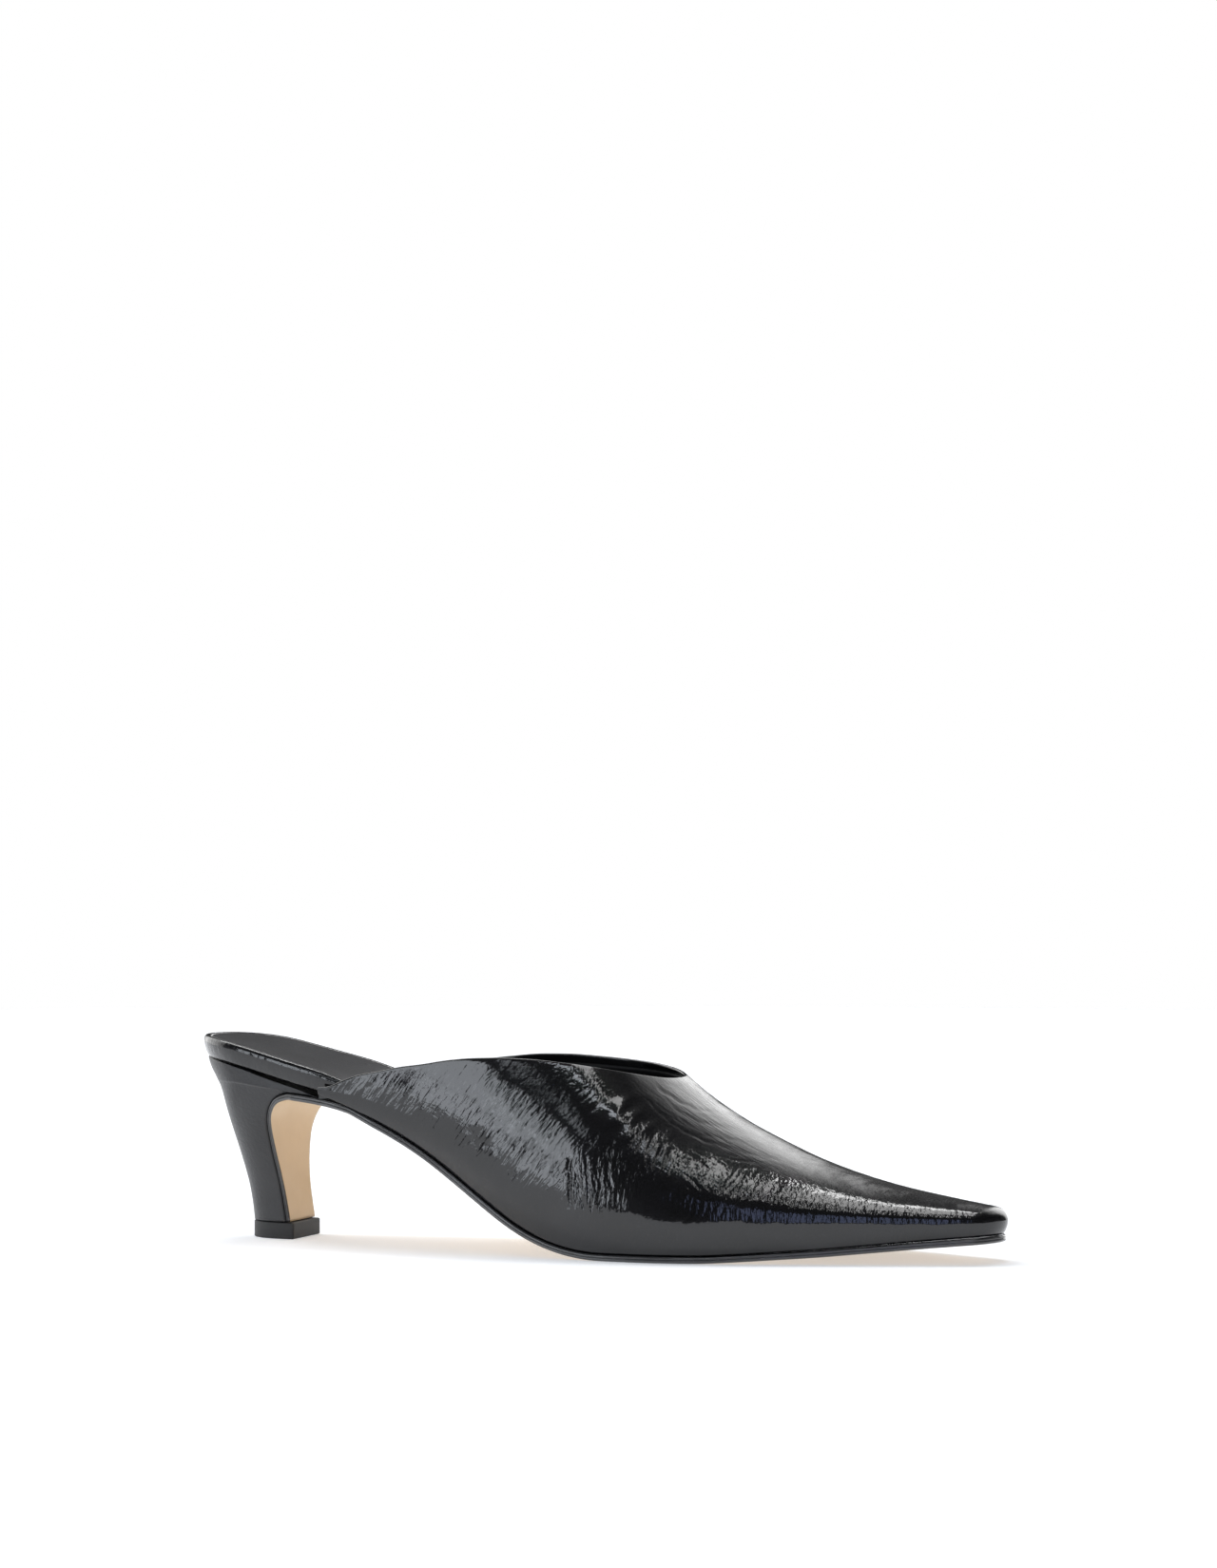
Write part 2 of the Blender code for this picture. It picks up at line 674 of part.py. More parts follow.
def heel_ring(front, back, climb):
    """One section of the heel from its back line to its front line, bent up into the seat's shape."""
    seat_like = ease((climb - SEAT_BLEND) / (1 - SEAT_BLEND))
    front_half = dict(zip(SIGN, front[2:]))
    side_points = {side: [] for side in SIGN}
    for i in range(HEEL_SIDE_POINTS + 1):
        share = (i / HEEL_SIDE_POINTS) ** 2
        seat_x = share * WEDGE_TIP
        bend = heel_seat(seat_x) - mix(heel_seat(0), heel_seat(WEDGE_TIP), share)
        z = heel_seat(seat_x) if climb == 1 else mix(back[1], front[1], share) + seat_like * bend
        for side, points in side_points.items():
            seat_share = half_width(seat_x, side) / half_width(WEDGE_TIP, side)
            half = front_half[side] * mix(rounded_share(share, HEEL_ROUNDNESS), seat_share, seat_like)
            points.append((mix(back[0], front[0], share), SIGN[side] * half, z))
    return side_points["inner"] + side_points["outer"][:0:-1]


def build_heel(finish, collection):
    """The covered heel block: a tapering D that flares to the seat, with a wedge over the shank."""
    climbs = np.linspace(0, 1, HEEL_RINGS)
    fronts = evenly_spaced(heel_front_points(), climbs)
    backs = evenly_spaced(heel_back_points(), climbs)
    rings = [heel_ring(*section) for section in zip(fronts, backs, climbs)]
    return object_from(loft_round(rings), "heel", finish, collection)


def build_top_lift(finish, collection):
    """The rubber top lift, a flat D a little larger than the heel's foot."""
    rings = []
    for z, inset in ((0, LIFT_BEVEL), (LIFT_BEVEL, 0), (LIFT_THICKNESS, 0)):
        front, back = BREAST_FOOT + LIFT_OVERHANG - inset, HEEL_TIP_BACK - LIFT_PROUD + inset
        half = HEEL_TIP_WIDTH / 2 + LIFT_PROUD - inset
        side = []
        for i in range(HEEL_SIDE_POINTS + 1):
            share = (i / HEEL_SIDE_POINTS) ** 2
            side.append((mix(back, front, share), half * rounded_share(share, HEEL_ROUNDNESS), z))
        rings.append(side + [(x, -y, z) for x, y, z in side[:0:-1]])
    return object_from(loft_round(rings), "top_lift", finish, collection)


def stand_at_origin(made, collection):
    """Centres the shoe over the origin by one parent, measured on the outlines of its parts."""
    corners = np.array([vertex.co for piece in made for vertex in piece.data.vertices])
    low, high = corners.min(axis=0), corners.max(axis=0)
    stand = bpy.data.objects.new("shoe_origin", None)
    collection.objects.link(stand)
    stand.location = (-(low[0] + high[0]) / 2, -(low[1] + high[1]) / 2, -low[2])
    for piece in made:
        piece.parent = stand


def main():
    for old in list(bpy.data.objects):
        bpy.data.objects.remove(old)
    collection = bpy.data.collections.new("closed_toe_slide")
    bpy.context.scene.collection.children.link(collection)
    patent = material("patent_leather", (0.012, 0.012, 0.015), 0.12)
    heel_cover = material("heel_cover", (0.03, 0.03, 0.033), 0.3)
    sock_leather = material("sock_leather", (0.045, 0.045, 0.048), 0.45)
    sole_leather = material("sole_leather", (0.62, 0.46, 0.29), 0.5)
    lift_rubber = material("lift_rubber", (0.03, 0.03, 0.032), 0.7)
    made = [
        build_upper(patent, collection),
        build_outsole(sole_leather, collection),
        build_heel(heel_cover, collection),
        build_top_lift(lift_rubber, collection),
        build_insole(patent, collection),
        build_sock(sock_leather, collection),
    ]
    stand_at_origin(made, collection)


main()
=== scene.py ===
"""The closed toe slide dressed for the studio: creased patent upper, painted sole edge, covered heel.

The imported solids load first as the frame. Each shown piece is then made finely from the same sizes as
its solid and stands where that solid stands. Lengths are in metres. In the tables x runs from the
seat's back to the toe, +Y is the inner side of this right shoe, and the floor is z = 0.
"""

from collections import namedtuple
from math import cos, pi, radians, sin, tan

import bmesh
import bpy
import numpy as np
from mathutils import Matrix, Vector


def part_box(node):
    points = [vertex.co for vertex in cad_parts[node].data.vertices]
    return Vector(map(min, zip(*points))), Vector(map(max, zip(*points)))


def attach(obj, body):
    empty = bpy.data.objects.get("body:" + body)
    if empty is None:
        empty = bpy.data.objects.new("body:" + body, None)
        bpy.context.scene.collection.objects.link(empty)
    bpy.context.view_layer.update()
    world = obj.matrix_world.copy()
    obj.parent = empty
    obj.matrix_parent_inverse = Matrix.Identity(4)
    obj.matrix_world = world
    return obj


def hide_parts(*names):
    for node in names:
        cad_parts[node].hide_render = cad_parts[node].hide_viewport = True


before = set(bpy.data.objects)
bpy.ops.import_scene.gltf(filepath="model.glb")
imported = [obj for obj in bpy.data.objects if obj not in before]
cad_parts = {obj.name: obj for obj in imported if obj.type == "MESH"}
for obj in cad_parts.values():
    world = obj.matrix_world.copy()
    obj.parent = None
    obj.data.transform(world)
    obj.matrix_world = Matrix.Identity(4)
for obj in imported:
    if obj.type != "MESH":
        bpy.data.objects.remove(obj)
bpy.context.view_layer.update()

# Driving dimensions of the shoe
SHOE_LENGTH = 0.2665
BALL_WIDTH = 0.0746
SEAT_WIDTH = 0.051
HEEL_HEIGHT = 0.0581
THROAT_HEIGHT = 0.054
VAMP_LENGTH = 0.105
TOPLINE_HEIGHT = 0.0608
TOE_SPRING = 0.0065

# Thicknesses and clearances
UPPER_WALL = 0.0016
SOLE_THICKNESS = 0.002
FLAP_THICKNESS = 0.0012
INSOLE_THICKNESS = 0.003
SEAT_BAND = 0.0057
SOCK_THICKNESS = 0.0009
LIFT_THICKNESS = 0.0053
GAP = 0.0003

# Details of the outline and the seat
SEAT_ROUND = 0.021
TOE_ROUND = 0.0052
TOE_CAP_ROUND = 0.0045
SOLE_MARGIN = 0.0008
SOLE_FLARE = 0.020
SEAT_DISH = 0.0012
SOCK_INSET = 0.0026
SOCK_TOE_GAP = 0.012
WING_TIP = 0.0505

# Heel and top lift
HEEL_TIP_WIDTH = 0.020
HEEL_TIP_BACK = 0.017
BREAST_FOOT = 0.0328
WEDGE_REACH = 0.0217
WEDGE_EDGE = 0.00084
WEDGE_SLOPE = 0.14
LIFT_OVERHANG = 0.0013
LIFT_PROUD = 0.0003
LIFT_BEVEL = 0.0003

# Shares that shape the seat and the heel: where along the shoe the thick seat thins to the board, where
# its dish runs out, how square the heel's section is, and where up the heel it turns into the seat
BAND_FADE = (0.20, 0.38)
DISH_FADE = (0.30, 0.50)
HEEL_ROUNDNESS = 2.3
SEAT_BLEND = 0.4

# Finer sizes that only the dressed shoe has
MARGIN_WALL = 0.0011
MARGIN_DEPTH = 0.0032
LINING_STEP = 0.0006
FEATHER_TUCK = 0.0011
SMOOTHING = 0.004
HEEL_TUCK = 0.0013
HEEL_TUCK_FROM = 0.45
BACK_SMOOTHING = 0.06
ROW_CROWDING = 1.8
THROAT_CROWDING = 1.5
FOREPART_FADE = (0.50, 0.70)
SLOPE_STEP = 1e-3

# Mesh densities: counts of columns, rows and rings, and of the samples that curves are measured with
UPPER_COLUMNS = 305
UPPER_ROWS = 148
RIM_STEPS = 11
MARGIN_STEPS = 6
LINING_ROWS = 44
PLATE_STEPS = 220
PLATE_ACROSS = 25
EDGE_STEPS = 6
FLAP_STEPS = 150
HEEL_RINGS = 120
D_POINTS = 48
CURVE_SAMPLES = 4001
SHARE_SAMPLES = 2001
TOPLINE_SAMPLES = 1200
WALL_SAMPLES = 24
CROWN_SAMPLES = 160
HEEL_SAMPLES = 400
SHANK_SAMPLES = 200


def table(fields, *rows):
    """Rows of a table, each with these named fields."""
    row_type = namedtuple("Row", fields)
    return [row_type(*row) for row in rows]


# Half widths of the insole. station is a share of SHOE_LENGTH; inner and outer are shares of the size named
OUTLINE = table(
    "station inner outer size",
    (0.000, 0.400, 0.400, SEAT_WIDTH),
    (0.035, 0.418, 0.418, SEAT_WIDTH),
    (0.075, 0.440, 0.440, SEAT_WIDTH),
    (0.125, 0.475, 0.475, SEAT_WIDTH),
    (0.175, 0.498, 0.500, SEAT_WIDTH),
    (0.236, 0.480, 0.508, SEAT_WIDTH),
    (0.296, 0.310, 0.352, BALL_WIDTH),
    (0.356, 0.312, 0.372, BALL_WIDTH),
    (0.417, 0.345, 0.410, BALL_WIDTH),
    (0.497, 0.405, 0.465, BALL_WIDTH),
    (0.558, 0.458, 0.502, BALL_WIDTH),
    (0.608, 0.495, 0.509, BALL_WIDTH),
    (0.658, 0.509, 0.485, BALL_WIDTH),
    (0.718, 0.484, 0.424, BALL_WIDTH),
    (0.789, 0.408, 0.340, BALL_WIDTH),
    (0.859, 0.300, 0.250, BALL_WIDTH),
    (0.930, 0.185, 0.158, BALL_WIDTH),
    (1.000, 0.070, 0.066, BALL_WIDTH),
)

# Height of the insole's underside over the standing line, as pairs of a station, which is a share of
# SHOE_LENGTH, and a share of HEEL_HEIGHT behind the ball and of TOE_SPRING ahead of it
BEHIND_BALL = [
    (0.000, 0.961), (0.025, 0.952), (0.055, 0.934), (0.085, 0.905), (0.115, 0.870),
    (0.145, 0.835), (0.182, 0.792), (0.227, 0.722), (0.257, 0.661), (0.295, 0.576),
    (0.332, 0.480), (0.369, 0.367), (0.407, 0.249), (0.437, 0.160), (0.467, 0.089),
    (0.497, 0.040), (0.527, 0.011), (0.554, 0.000),
]
AHEAD_OF_BALL = [
    (0.670, 0.000), (0.707, 0.060), (0.753, 0.180), (0.801, 0.310), (0.857, 0.510),
    (0.914, 0.720), (1.000, 1.000),
]

# Sections of the last under the upper. station is 0 at the throat, -1 at the seat's back and 1 at the toe.
# ridge is the crest's height over the floor and widest the height of the widest level over the insole's
# edge, as shares of THROAT_HEIGHT; inner and outer bulges are shares of BALL_WIDTH; square is the power
# of the section's curve, and 2 is an ellipse
SECTIONS = table(
    "station ridge widest inner_bulge outer_bulge square",
    (-0.710, 1.850, 0.012, 0.004, 0.004, 2.4),
    (-0.630, 1.831, 0.070, 0.012, 0.012, 2.4),
    (-0.510, 1.778, 0.150, 0.040, 0.030, 2.4),
    (-0.345, 1.620, 0.220, 0.060, 0.040, 2.4),
    (-0.230, 1.491, 0.230, 0.052, 0.036, 2.3),
    (-0.140, 1.328, 0.220, 0.040, 0.030, 2.2),
    (-0.080, 1.200, 0.210, 0.032, 0.026, 2.1),
    (-0.040, 1.101, 0.200, 0.028, 0.024, 2.05),
    (0.000, 1.000, 0.190, 0.026, 0.022, 2.0),
    (0.050, 0.920, 0.185, 0.025, 0.021, 2.0),
    (0.100, 0.852, 0.180, 0.024, 0.020, 2.0),
    (0.175, 0.763, 0.175, 0.023, 0.020, 2.0),
    (0.250, 0.687, 0.170, 0.022, 0.020, 2.05),
    (0.395, 0.558, 0.155, 0.020, 0.019, 2.1),
    (0.540, 0.464, 0.135, 0.019, 0.018, 2.2),
    (0.690, 0.395, 0.110, 0.018, 0.018, 2.3),
    (0.830, 0.349, 0.085, 0.018, 0.018, 2.4),
    (1.000, 0.300, 0.072, 0.018, 0.018, 2.5),
)

# Height of the topline over the floor on the two sides, as shares of the size named. station is 0 at
# the wing's tip and 1 at the throat
TOPLINE = table(
    "station inner outer size",
    (0.030, 0.815, 0.822, TOPLINE_HEIGHT),
    (0.070, 0.848, 0.855, TOPLINE_HEIGHT),
    (0.130, 0.882, 0.893, TOPLINE_HEIGHT),
    (0.185, 0.900, 0.911, TOPLINE_HEIGHT),
    (0.255, 0.921, 0.938, TOPLINE_HEIGHT),
    (0.330, 0.938, 0.957, TOPLINE_HEIGHT),
    (0.400, 0.953, 0.979, TOPLINE_HEIGHT),
    (0.485, 0.967, 0.995, TOPLINE_HEIGHT),
    (0.570, 0.969, 1.000, TOPLINE_HEIGHT),
    (0.655, 0.962, 0.996, TOPLINE_HEIGHT),
    (0.755, 0.950, 0.979, TOPLINE_HEIGHT),
    (0.845, 0.936, 0.954, TOPLINE_HEIGHT),
    (0.920, 0.918, 0.925, TOPLINE_HEIGHT),
    (1.000, 1.000, 1.000, THROAT_HEIGHT),
)

# The heel's breast, from the shank down to the top lift: height as a share of the way from the top lift
# to the shank's underside, setback behind BREAST_FOOT and half width as shares of SEAT_WIDTH
BREAST = table(
    "height setback half_width",
    (1.000, -0.112, 0.475),
    (0.974, -0.030, 0.445),
    (0.916, 0.024, 0.410),
    (0.824, 0.060, 0.360),
    (0.703, 0.072, 0.305),
    (0.558, 0.066, 0.262),
    (0.382, 0.049, 0.222),
    (0.196, 0.026, 0.200),
    (0.000, 0.000, 0.196),
)

# The heel's back line: height as a share of the way from the top lift to the seat's back, forward of the
# seat's back as a share of HEEL_TIP_BACK
HEEL_BACK = table(
    "height forward",
    (0.000, 1.000),
    (0.179, 0.923),
    (0.370, 0.783),
    (0.560, 0.617),
    (0.712, 0.465),
    (0.846, 0.296),
    (0.941, 0.075),
    (1.000, 0.000),
)

# Places that follow from the sizes: the insole's toe lies inside the upper's wall and its bulge there
LAST_LENGTH = SHOE_LENGTH - UPPER_WALL - GAP - SECTIONS[-1].inner_bulge * BALL_WIDTH
THROAT_STATION = SHOE_LENGTH - VAMP_LENGTH
WEDGE_TIP = BREAST_FOOT + WEDGE_REACH
HEEL_BASE = LIFT_THICKNESS + GAP

SIGN = {"inner": 1, "outer": -1}


def smooth_curve(places, values):
    """A smooth function of an array through the given values that makes no new peaks between them."""
    places, values = np.asarray(places, float), np.asarray(values, float)
    steps = np.diff(places)
    rises = np.diff(values) / steps
    slopes = np.zeros(len(places))
    slopes[0], slopes[-1] = rises[0], rises[-1]
    same_way = rises[:-1] * rises[1:] > 0
    before, after = 2 * steps[1:] + steps[:-1], steps[1:] + 2 * steps[:-1]
    with np.errstate(divide="ignore", invalid="ignore"):
        blended = (before + after) / (before / rises[:-1] + after / rises[1:])
    slopes[1:-1] = np.where(same_way, blended, 0.0)

    def value(place):
        place = np.clip(place, places[0], places[-1])
        i = np.clip(np.searchsorted(places, place) - 1, 0, len(steps) - 1)
        t = (place - places[i]) / steps[i]
        start = (1 + 2 * t) * (1 - t) ** 2 * values[i] + t * (1 - t) ** 2 * steps[i] * slopes[i]
        end = t * t * (3 - 2 * t) * values[i + 1] + t * t * (t - 1) * steps[i] * slopes[i + 1]
        return start + end

    return value


def softened(curve, low, high, reach):
    """The curve averaged over a bell of this reach, so that a glossy surface through it shows no bands."""
    step = reach / 8
    places = np.arange(low - 4 * reach, high + 4 * reach, step)
    offsets = np.arange(-3 * reach, 3 * reach, step)
    bell = np.exp(-((offsets / reach) ** 2))
    values = (curve(places[:, None] + offsets) * bell).sum(axis=1) / bell.sum()
    return lambda place: np.interp(place, places, values)


def soft_curve(places, values, reach=SMOOTHING):
    """A softened curve through the given values."""
    return softened(smooth_curve(places, values), places[0], places[-1], reach)


def ease(t):
    """A soft step from 0 to 1."""
    t = np.clip(t, 0.0, 1.0)
    return t * t * (3 - 2 * t)


def mix(a, b, t):
    return a + (b - a) * t


def columns(*parts):
    """Arrays of one length side by side, such as x, y and z."""
    return np.stack(parts, axis=1)


def fade(x, stations):
    """A soft step between two stations, which are shares of SHOE_LENGTH."""
    start, end = stations
    return ease((x / SHOE_LENGTH - start) / (end - start))


OUTLINE_PLACES = [row.station * SHOE_LENGTH for row in OUTLINE]
HALF_WIDTH = {
    side: soft_curve(OUTLINE_PLACES, [getattr(row, side) * row.size for row in OUTLINE])
    for side in SIGN
}


def half_width(x, side):
    """Half width of the insole at x, rounded off at the seat and at the toe."""
    x = np.clip(x, 0.0, LAST_LENGTH)
    back = np.maximum(0.0, 1 - x / SEAT_ROUND)
    front = np.maximum(0.0, 1 - (LAST_LENGTH - x) / TOE_ROUND)
    rounding = np.sqrt(1 - back**2) * np.sqrt(np.maximum(0.0, 1 - front**2))
    return HALF_WIDTH[side](x) * rounding


def outline_place(u):
    """x along the insole for u from 0 at the seat's back to 1 at the toe, closer at both ends."""
    return LAST_LENGTH * (1 - np.cos(pi * u)) / 2


def outline_point(u, side, offset):
    """Points on the insole's outline moved outward by offset: x and signed y."""
    u = np.asarray(u, float)
    u0, u1 = np.maximum(u - SLOPE_STEP, 0.0), np.minimum(u + SLOPE_STEP, 1.0)
    along = outline_place(u1) - outline_place(u0)
    outward = half_width(outline_place(u1), side) - half_width(outline_place(u0), side)
    along = np.where((u < SLOPE_STEP) | (u > 1 - SLOPE_STEP), 0.0, along)
    outward = np.where(u < SLOPE_STEP, 1.0, np.where(u > 1 - SLOPE_STEP, -1.0, outward))
    length = np.hypot(along, outward)
    x = outline_place(u) - offset * outward / length
    y = half_width(outline_place(u), side) + offset * along / length
    return x, SIGN[side] * y


# Heights along the shoe
SOLE_RISE = soft_curve(
    [station * SHOE_LENGTH for station, share in BEHIND_BALL + AHEAD_OF_BALL],
    [share * HEEL_HEIGHT for station, share in BEHIND_BALL]
    + [share * TOE_SPRING for station, share in AHEAD_OF_BALL],
)


def lean(x):
    """1 / cos of the sole's slope at x, which turns a thickness into a height."""
    slope = (SOLE_RISE(x + SLOPE_STEP) - SOLE_RISE(x - SLOPE_STEP)) / (2 * SLOPE_STEP)
    return np.sqrt(1 + slope**2)


def seat_line(x):
    """Height of the insole's underside at x."""
    return SOLE_RISE(x) + SOLE_THICKNESS + GAP


def sole_top(x, y=0.0):
    """Height of the outsole's upper face, which leaves the seat line to make room for the heel's wedge."""
    wedge = np.maximum(0.0, WEDGE_EDGE + (WEDGE_TIP - x) * WEDGE_SLOPE)
    return seat_line(x) - GAP * lean(x) - wedge


def sole_underside(x, y=0.0):
    return sole_top(x) - SOLE_THICKNESS * lean(x)


def insole_underside(x, y):
    return seat_line(x)


def insole_top(x, y):
    """Height of the insole's upper face: thick at the wrapped seat, with a shallow dish for the heel."""
    half = np.where(y > 0, HALF_WIDTH["inner"](x), HALF_WIDTH["outer"](x))
    from_middle = np.minimum(np.hypot(y / half, np.maximum(0.0, 1 - x / SEAT_ROUND)), 1.0)
    thickness = mix(SEAT_BAND, INSOLE_THICKNESS, fade(x, BAND_FADE))
    dish = SEAT_DISH * (1 - from_middle**2) * (1 - fade(x, DISH_FADE))
    return seat_line(x) + thickness - dish


def sock_underside(x, y):
    return insole_top(x, y) + GAP


def sock_top(x, y):
    return sock_underside(x, y) + SOCK_THICKNESS


# The upper's sections
def section_place(station):
    """x for a station that is 0 at the throat, -1 at the seat's back and 1 at the toe."""
    return THROAT_STATION + station * (VAMP_LENGTH if station > 0 else THROAT_STATION)


STATIONS = [section_place(row.station) for row in SECTIONS]


def topline_curve(side):
    exact = smooth_curve(
        [mix(WING_TIP, THROAT_STATION, row.station) for row in TOPLINE],
        [getattr(row, side) * row.size for row in TOPLINE],
    )
    return softened(exact, WING_TIP, THROAT_STATION, SMOOTHING / 2)


RIDGE = soft_curve(STATIONS, [row.ridge * THROAT_HEIGHT for row in SECTIONS])
WIDEST = soft_curve(STATIONS, [row.widest * THROAT_HEIGHT for row in SECTIONS])
SQUARE = soft_curve(STATIONS, [row.square for row in SECTIONS])
BULGE = {
    side: soft_curve(STATIONS, [getattr(row, side + "_bulge") * BALL_WIDTH for row in SECTIONS])
    for side in SIGN
}
TOPLINE_OF = {side: topline_curve(side) for side in SIGN}
OUTSIDE = GAP + UPPER_WALL
OUTLINE_SAMPLES = np.linspace(0, 1, CURVE_SAMPLES)
WIDE_OUTLINE = {
    side: outline_point(OUTLINE_SAMPLES, side, OUTSIDE + BULGE[side](outline_place(OUTLINE_SAMPLES)))
    for side in SIGN
}
TOE_TIP = WIDE_OUTLINE["inner"][0][-1]


def wide_half(x, side):
    """Half width of the upper at its widest level."""
    xs, ys = WIDE_OUTLINE[side]
    return np.interp(x, xs, np.abs(ys))


def widest_level(x):
    return seat_line(x) + WIDEST(x)


def ridge_height(x):
    """Height of the crest, rounded down to the widest level at the tip of the toe."""
    front = np.clip(1 - (TOE_TIP - x) / TOE_CAP_ROUND, 0.0, 1.0)
    return mix(widest_level(x), RIDGE(x), np.sqrt(1 - front**2))


def turn_at(x, y, side):
    """Angle up the crown's section, from 0 at the widest level to a right angle on the crest."""
    wide = np.maximum(wide_half(x, side), 1e-9)
    share = np.minimum(np.abs(y) / wide, 1.0)
    return np.arccos(share ** (SQUARE(x) / 2))


def crown_point(x, turn, side):
    """Points of the last's crown at stations x and these angles up the section."""
    power = 2 / SQUARE(x)
    rise = ridge_height(x) - widest_level(x)
    y = wide_half(x, side) * np.maximum(0.0, np.cos(turn)) ** power
    return np.stack([x, SIGN[side] * y, widest_level(x) + rise * np.sin(turn) ** power], axis=-1)


def topline_half(x, side):
    """Half width of the opening: where the last reaches the topline's height."""
    rise = ridge_height(x) - widest_level(x)
    share = (TOPLINE_OF[side](x) - widest_level(x)) / rise
    power = SQUARE(x)
    return wide_half(x, side) * np.maximum(0.0, 1 - np.minimum(share, 1.0) ** power) ** (1 / power)


def lengths_along(points):
    """Distance run along a polyline, from 0 at its first point."""
    return np.concatenate([[0], np.cumsum(np.linalg.norm(np.diff(points, axis=0), axis=1))])


def spread(points, distances):
    """Points at these distances along a polyline."""
    run = lengths_along(points)
    return columns(*(np.interp(distances, run, column) for column in points.T))


def topline_points(side, places):
    """Plan points of the topline from the throat back to the wing's tip."""
    t = np.linspace(0, 1, TOPLINE_SAMPLES)
    xs = THROAT_STATION - (THROAT_STATION - WING_TIP) * t * t
    ys = topline_half(xs, side)
    ys[0] = 0.0
    points = columns(xs, ys)
    return spread(points, places * lengths_along(points)[-1])


def edge_places(side, places):
    """Outline parameters u from the toe back to the wing's tip, at shares of the edge's length."""
    us = OUTLINE_SAMPLES[outline_place(OUTLINE_SAMPLES) >= WING_TIP][::-1]
    plan = columns(*outline_point(us, side, OUTSIDE))
    run = lengths_along(plan)
    return np.interp(places * run[-1], run, us)


# How the upper's columns crowd along its edge, as shares of the way from the toe to the wing's tip: the
# creased stretch, the soft step at its ends, and the reach of the crowding at the toe and at the tip
CREASED_STRETCH = (0.16, 0.70)
CREASED_STEP = 0.08
CREASED_CROWDING = 1.2
TOE_CROWDING = 6
TOE_REACH = 0.012
TIP_CROWDING = 1.5
TIP_REACH = 0.06


def column_shares():
    """Shares of the edge from the toe to the wing's tip, closer at the toe and over the creased waist."""
    share = np.linspace(0, 1, SHARE_SAMPLES)
    rise, fall = (ease((share - start) / CREASED_STEP) for start in CREASED_STRETCH)
    density = 1 + CREASED_CROWDING * (rise - fall) + TOE_CROWDING * np.exp(-share / TOE_REACH)
    density += TIP_CROWDING * ease((share - (1 - TIP_REACH)) / TIP_REACH)
    run = np.concatenate([[0], np.cumsum((density[1:] + density[:-1]) / 2)])
    return np.interp(np.linspace(0, run[-1], UPPER_COLUMNS + 1), run, share)


def upper_column(u, top, side):
    """One column of the outer face, evenly spaced from the sole's edge to just short of the topline."""
    x_edge = outline_place(u)
    bulge = float(BULGE[side](x_edge))
    t = np.linspace(0, 1, WALL_SAMPLES)[:-1]
    x, y = outline_point(np.full(len(t), u), side, OUTSIDE + bulge * (1 - (1 - t) ** 2))
    wall = columns(x, y, mix(seat_line(x), widest_level(x), t))
    start = np.stack(outline_point(u, side, OUTSIDE + bulge))
    even = np.linspace(0, 1, CROWN_SAMPLES)
    plan = even**ROW_CROWDING
    plan_x = mix(start[0], top[0], plan)
    plan_turn = turn_at(plan_x, mix(abs(start[1]), top[1], plan), side)
    forepart = fade(x_edge, FOREPART_FADE)
    top_turn = turn_at(*top, side)
    x = mix(mix(start[0], top[0], even), plan_x, forepart)
    crown = crown_point(x, mix(top_turn * even, plan_turn, forepart), side)
    column = np.concatenate([wall, crown])
    reach = lengths_along(column)[-1] - MARGIN_WALL / 2
    return spread(column, np.linspace(0, reach, UPPER_ROWS))


def upper_grid():
    """The upper's outer face from the inner wing round the toe to the outer wing, as columns of rows."""
    shares = column_shares()
    halves = []
    for side in SIGN:
        tops = topline_points(side, shares**THROAT_CROWDING)
        edges = edge_places(side, shares)
        halves.append([upper_column(u, top, side) for u, top in zip(edges, tops)])
    return np.array(halves[0][::-1] + halves[1][1:])


def grid_normals(grid):
    """Unit normals of a grid of points, turned to the outside."""
    around, up = np.gradient(grid, axis=0), np.gradient(grid, axis=1)
    normals = np.cross(up, around)
    normals /= np.linalg.norm(normals, axis=-1, keepdims=True) + 1e-12
    return normals


# Meshes
def grid_faces(columns, rows, closed=False):
    """Quads over a grid of points; closed joins each column's last row to its first."""
    index = np.arange(columns * rows).reshape(columns, rows)
    if closed:
        index = np.concatenate([index, index[:, :1]], axis=1)
    corners = (index[:-1, :-1], index[1:, :-1], index[1:, 1:], index[:-1, 1:])
    return np.stack(corners, axis=-1).reshape(-1, 4)


HEEL_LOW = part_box("heel")[0]
LIFT_LOW, LIFT_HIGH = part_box("top_lift")
ORIGIN = np.array([HEEL_LOW.x, (LIFT_LOW.y + LIFT_HIGH.y) / 2, LIFT_LOW.z])
WELD = 1e-6
CRINKLE_WEIGHTS = "crinkle"


def piece(name, points, faces, finishes, replaced, face_finish=None, weights=None):
    """A named mesh that stands in for solids of the frame. The points are in the tables' frame."""
    mesh = bpy.data.meshes.new(name)
    corners = [list(map(int, face)) for face in faces]
    mesh.from_pydata((points.reshape(-1, 3) + ORIGIN).tolist(), [], corners)
    for finish in finishes:
        mesh.materials.append(finish)
    if face_finish is not None:
        mesh.polygons.foreach_set("material_index", face_finish)
    if weights is not None:
        attribute = mesh.attributes.new(CRINKLE_WEIGHTS, "FLOAT_VECTOR", "POINT")
        attribute.data.foreach_set("vector", weights.reshape(-1).astype(np.float32))
    shaped = bmesh.new()
    shaped.from_mesh(mesh)
    bmesh.ops.remove_doubles(shaped, verts=shaped.verts, dist=WELD)
    bmesh.ops.recalc_face_normals(shaped, faces=shaped.faces)
    shaped.to_mesh(mesh)
    shaped.free()
    mesh.shade_smooth()
    made = bpy.data.objects.new(name, mesh)
    bpy.context.scene.collection.objects.link(made)
    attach(made, "root")
    if replaced:
        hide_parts(*replaced)


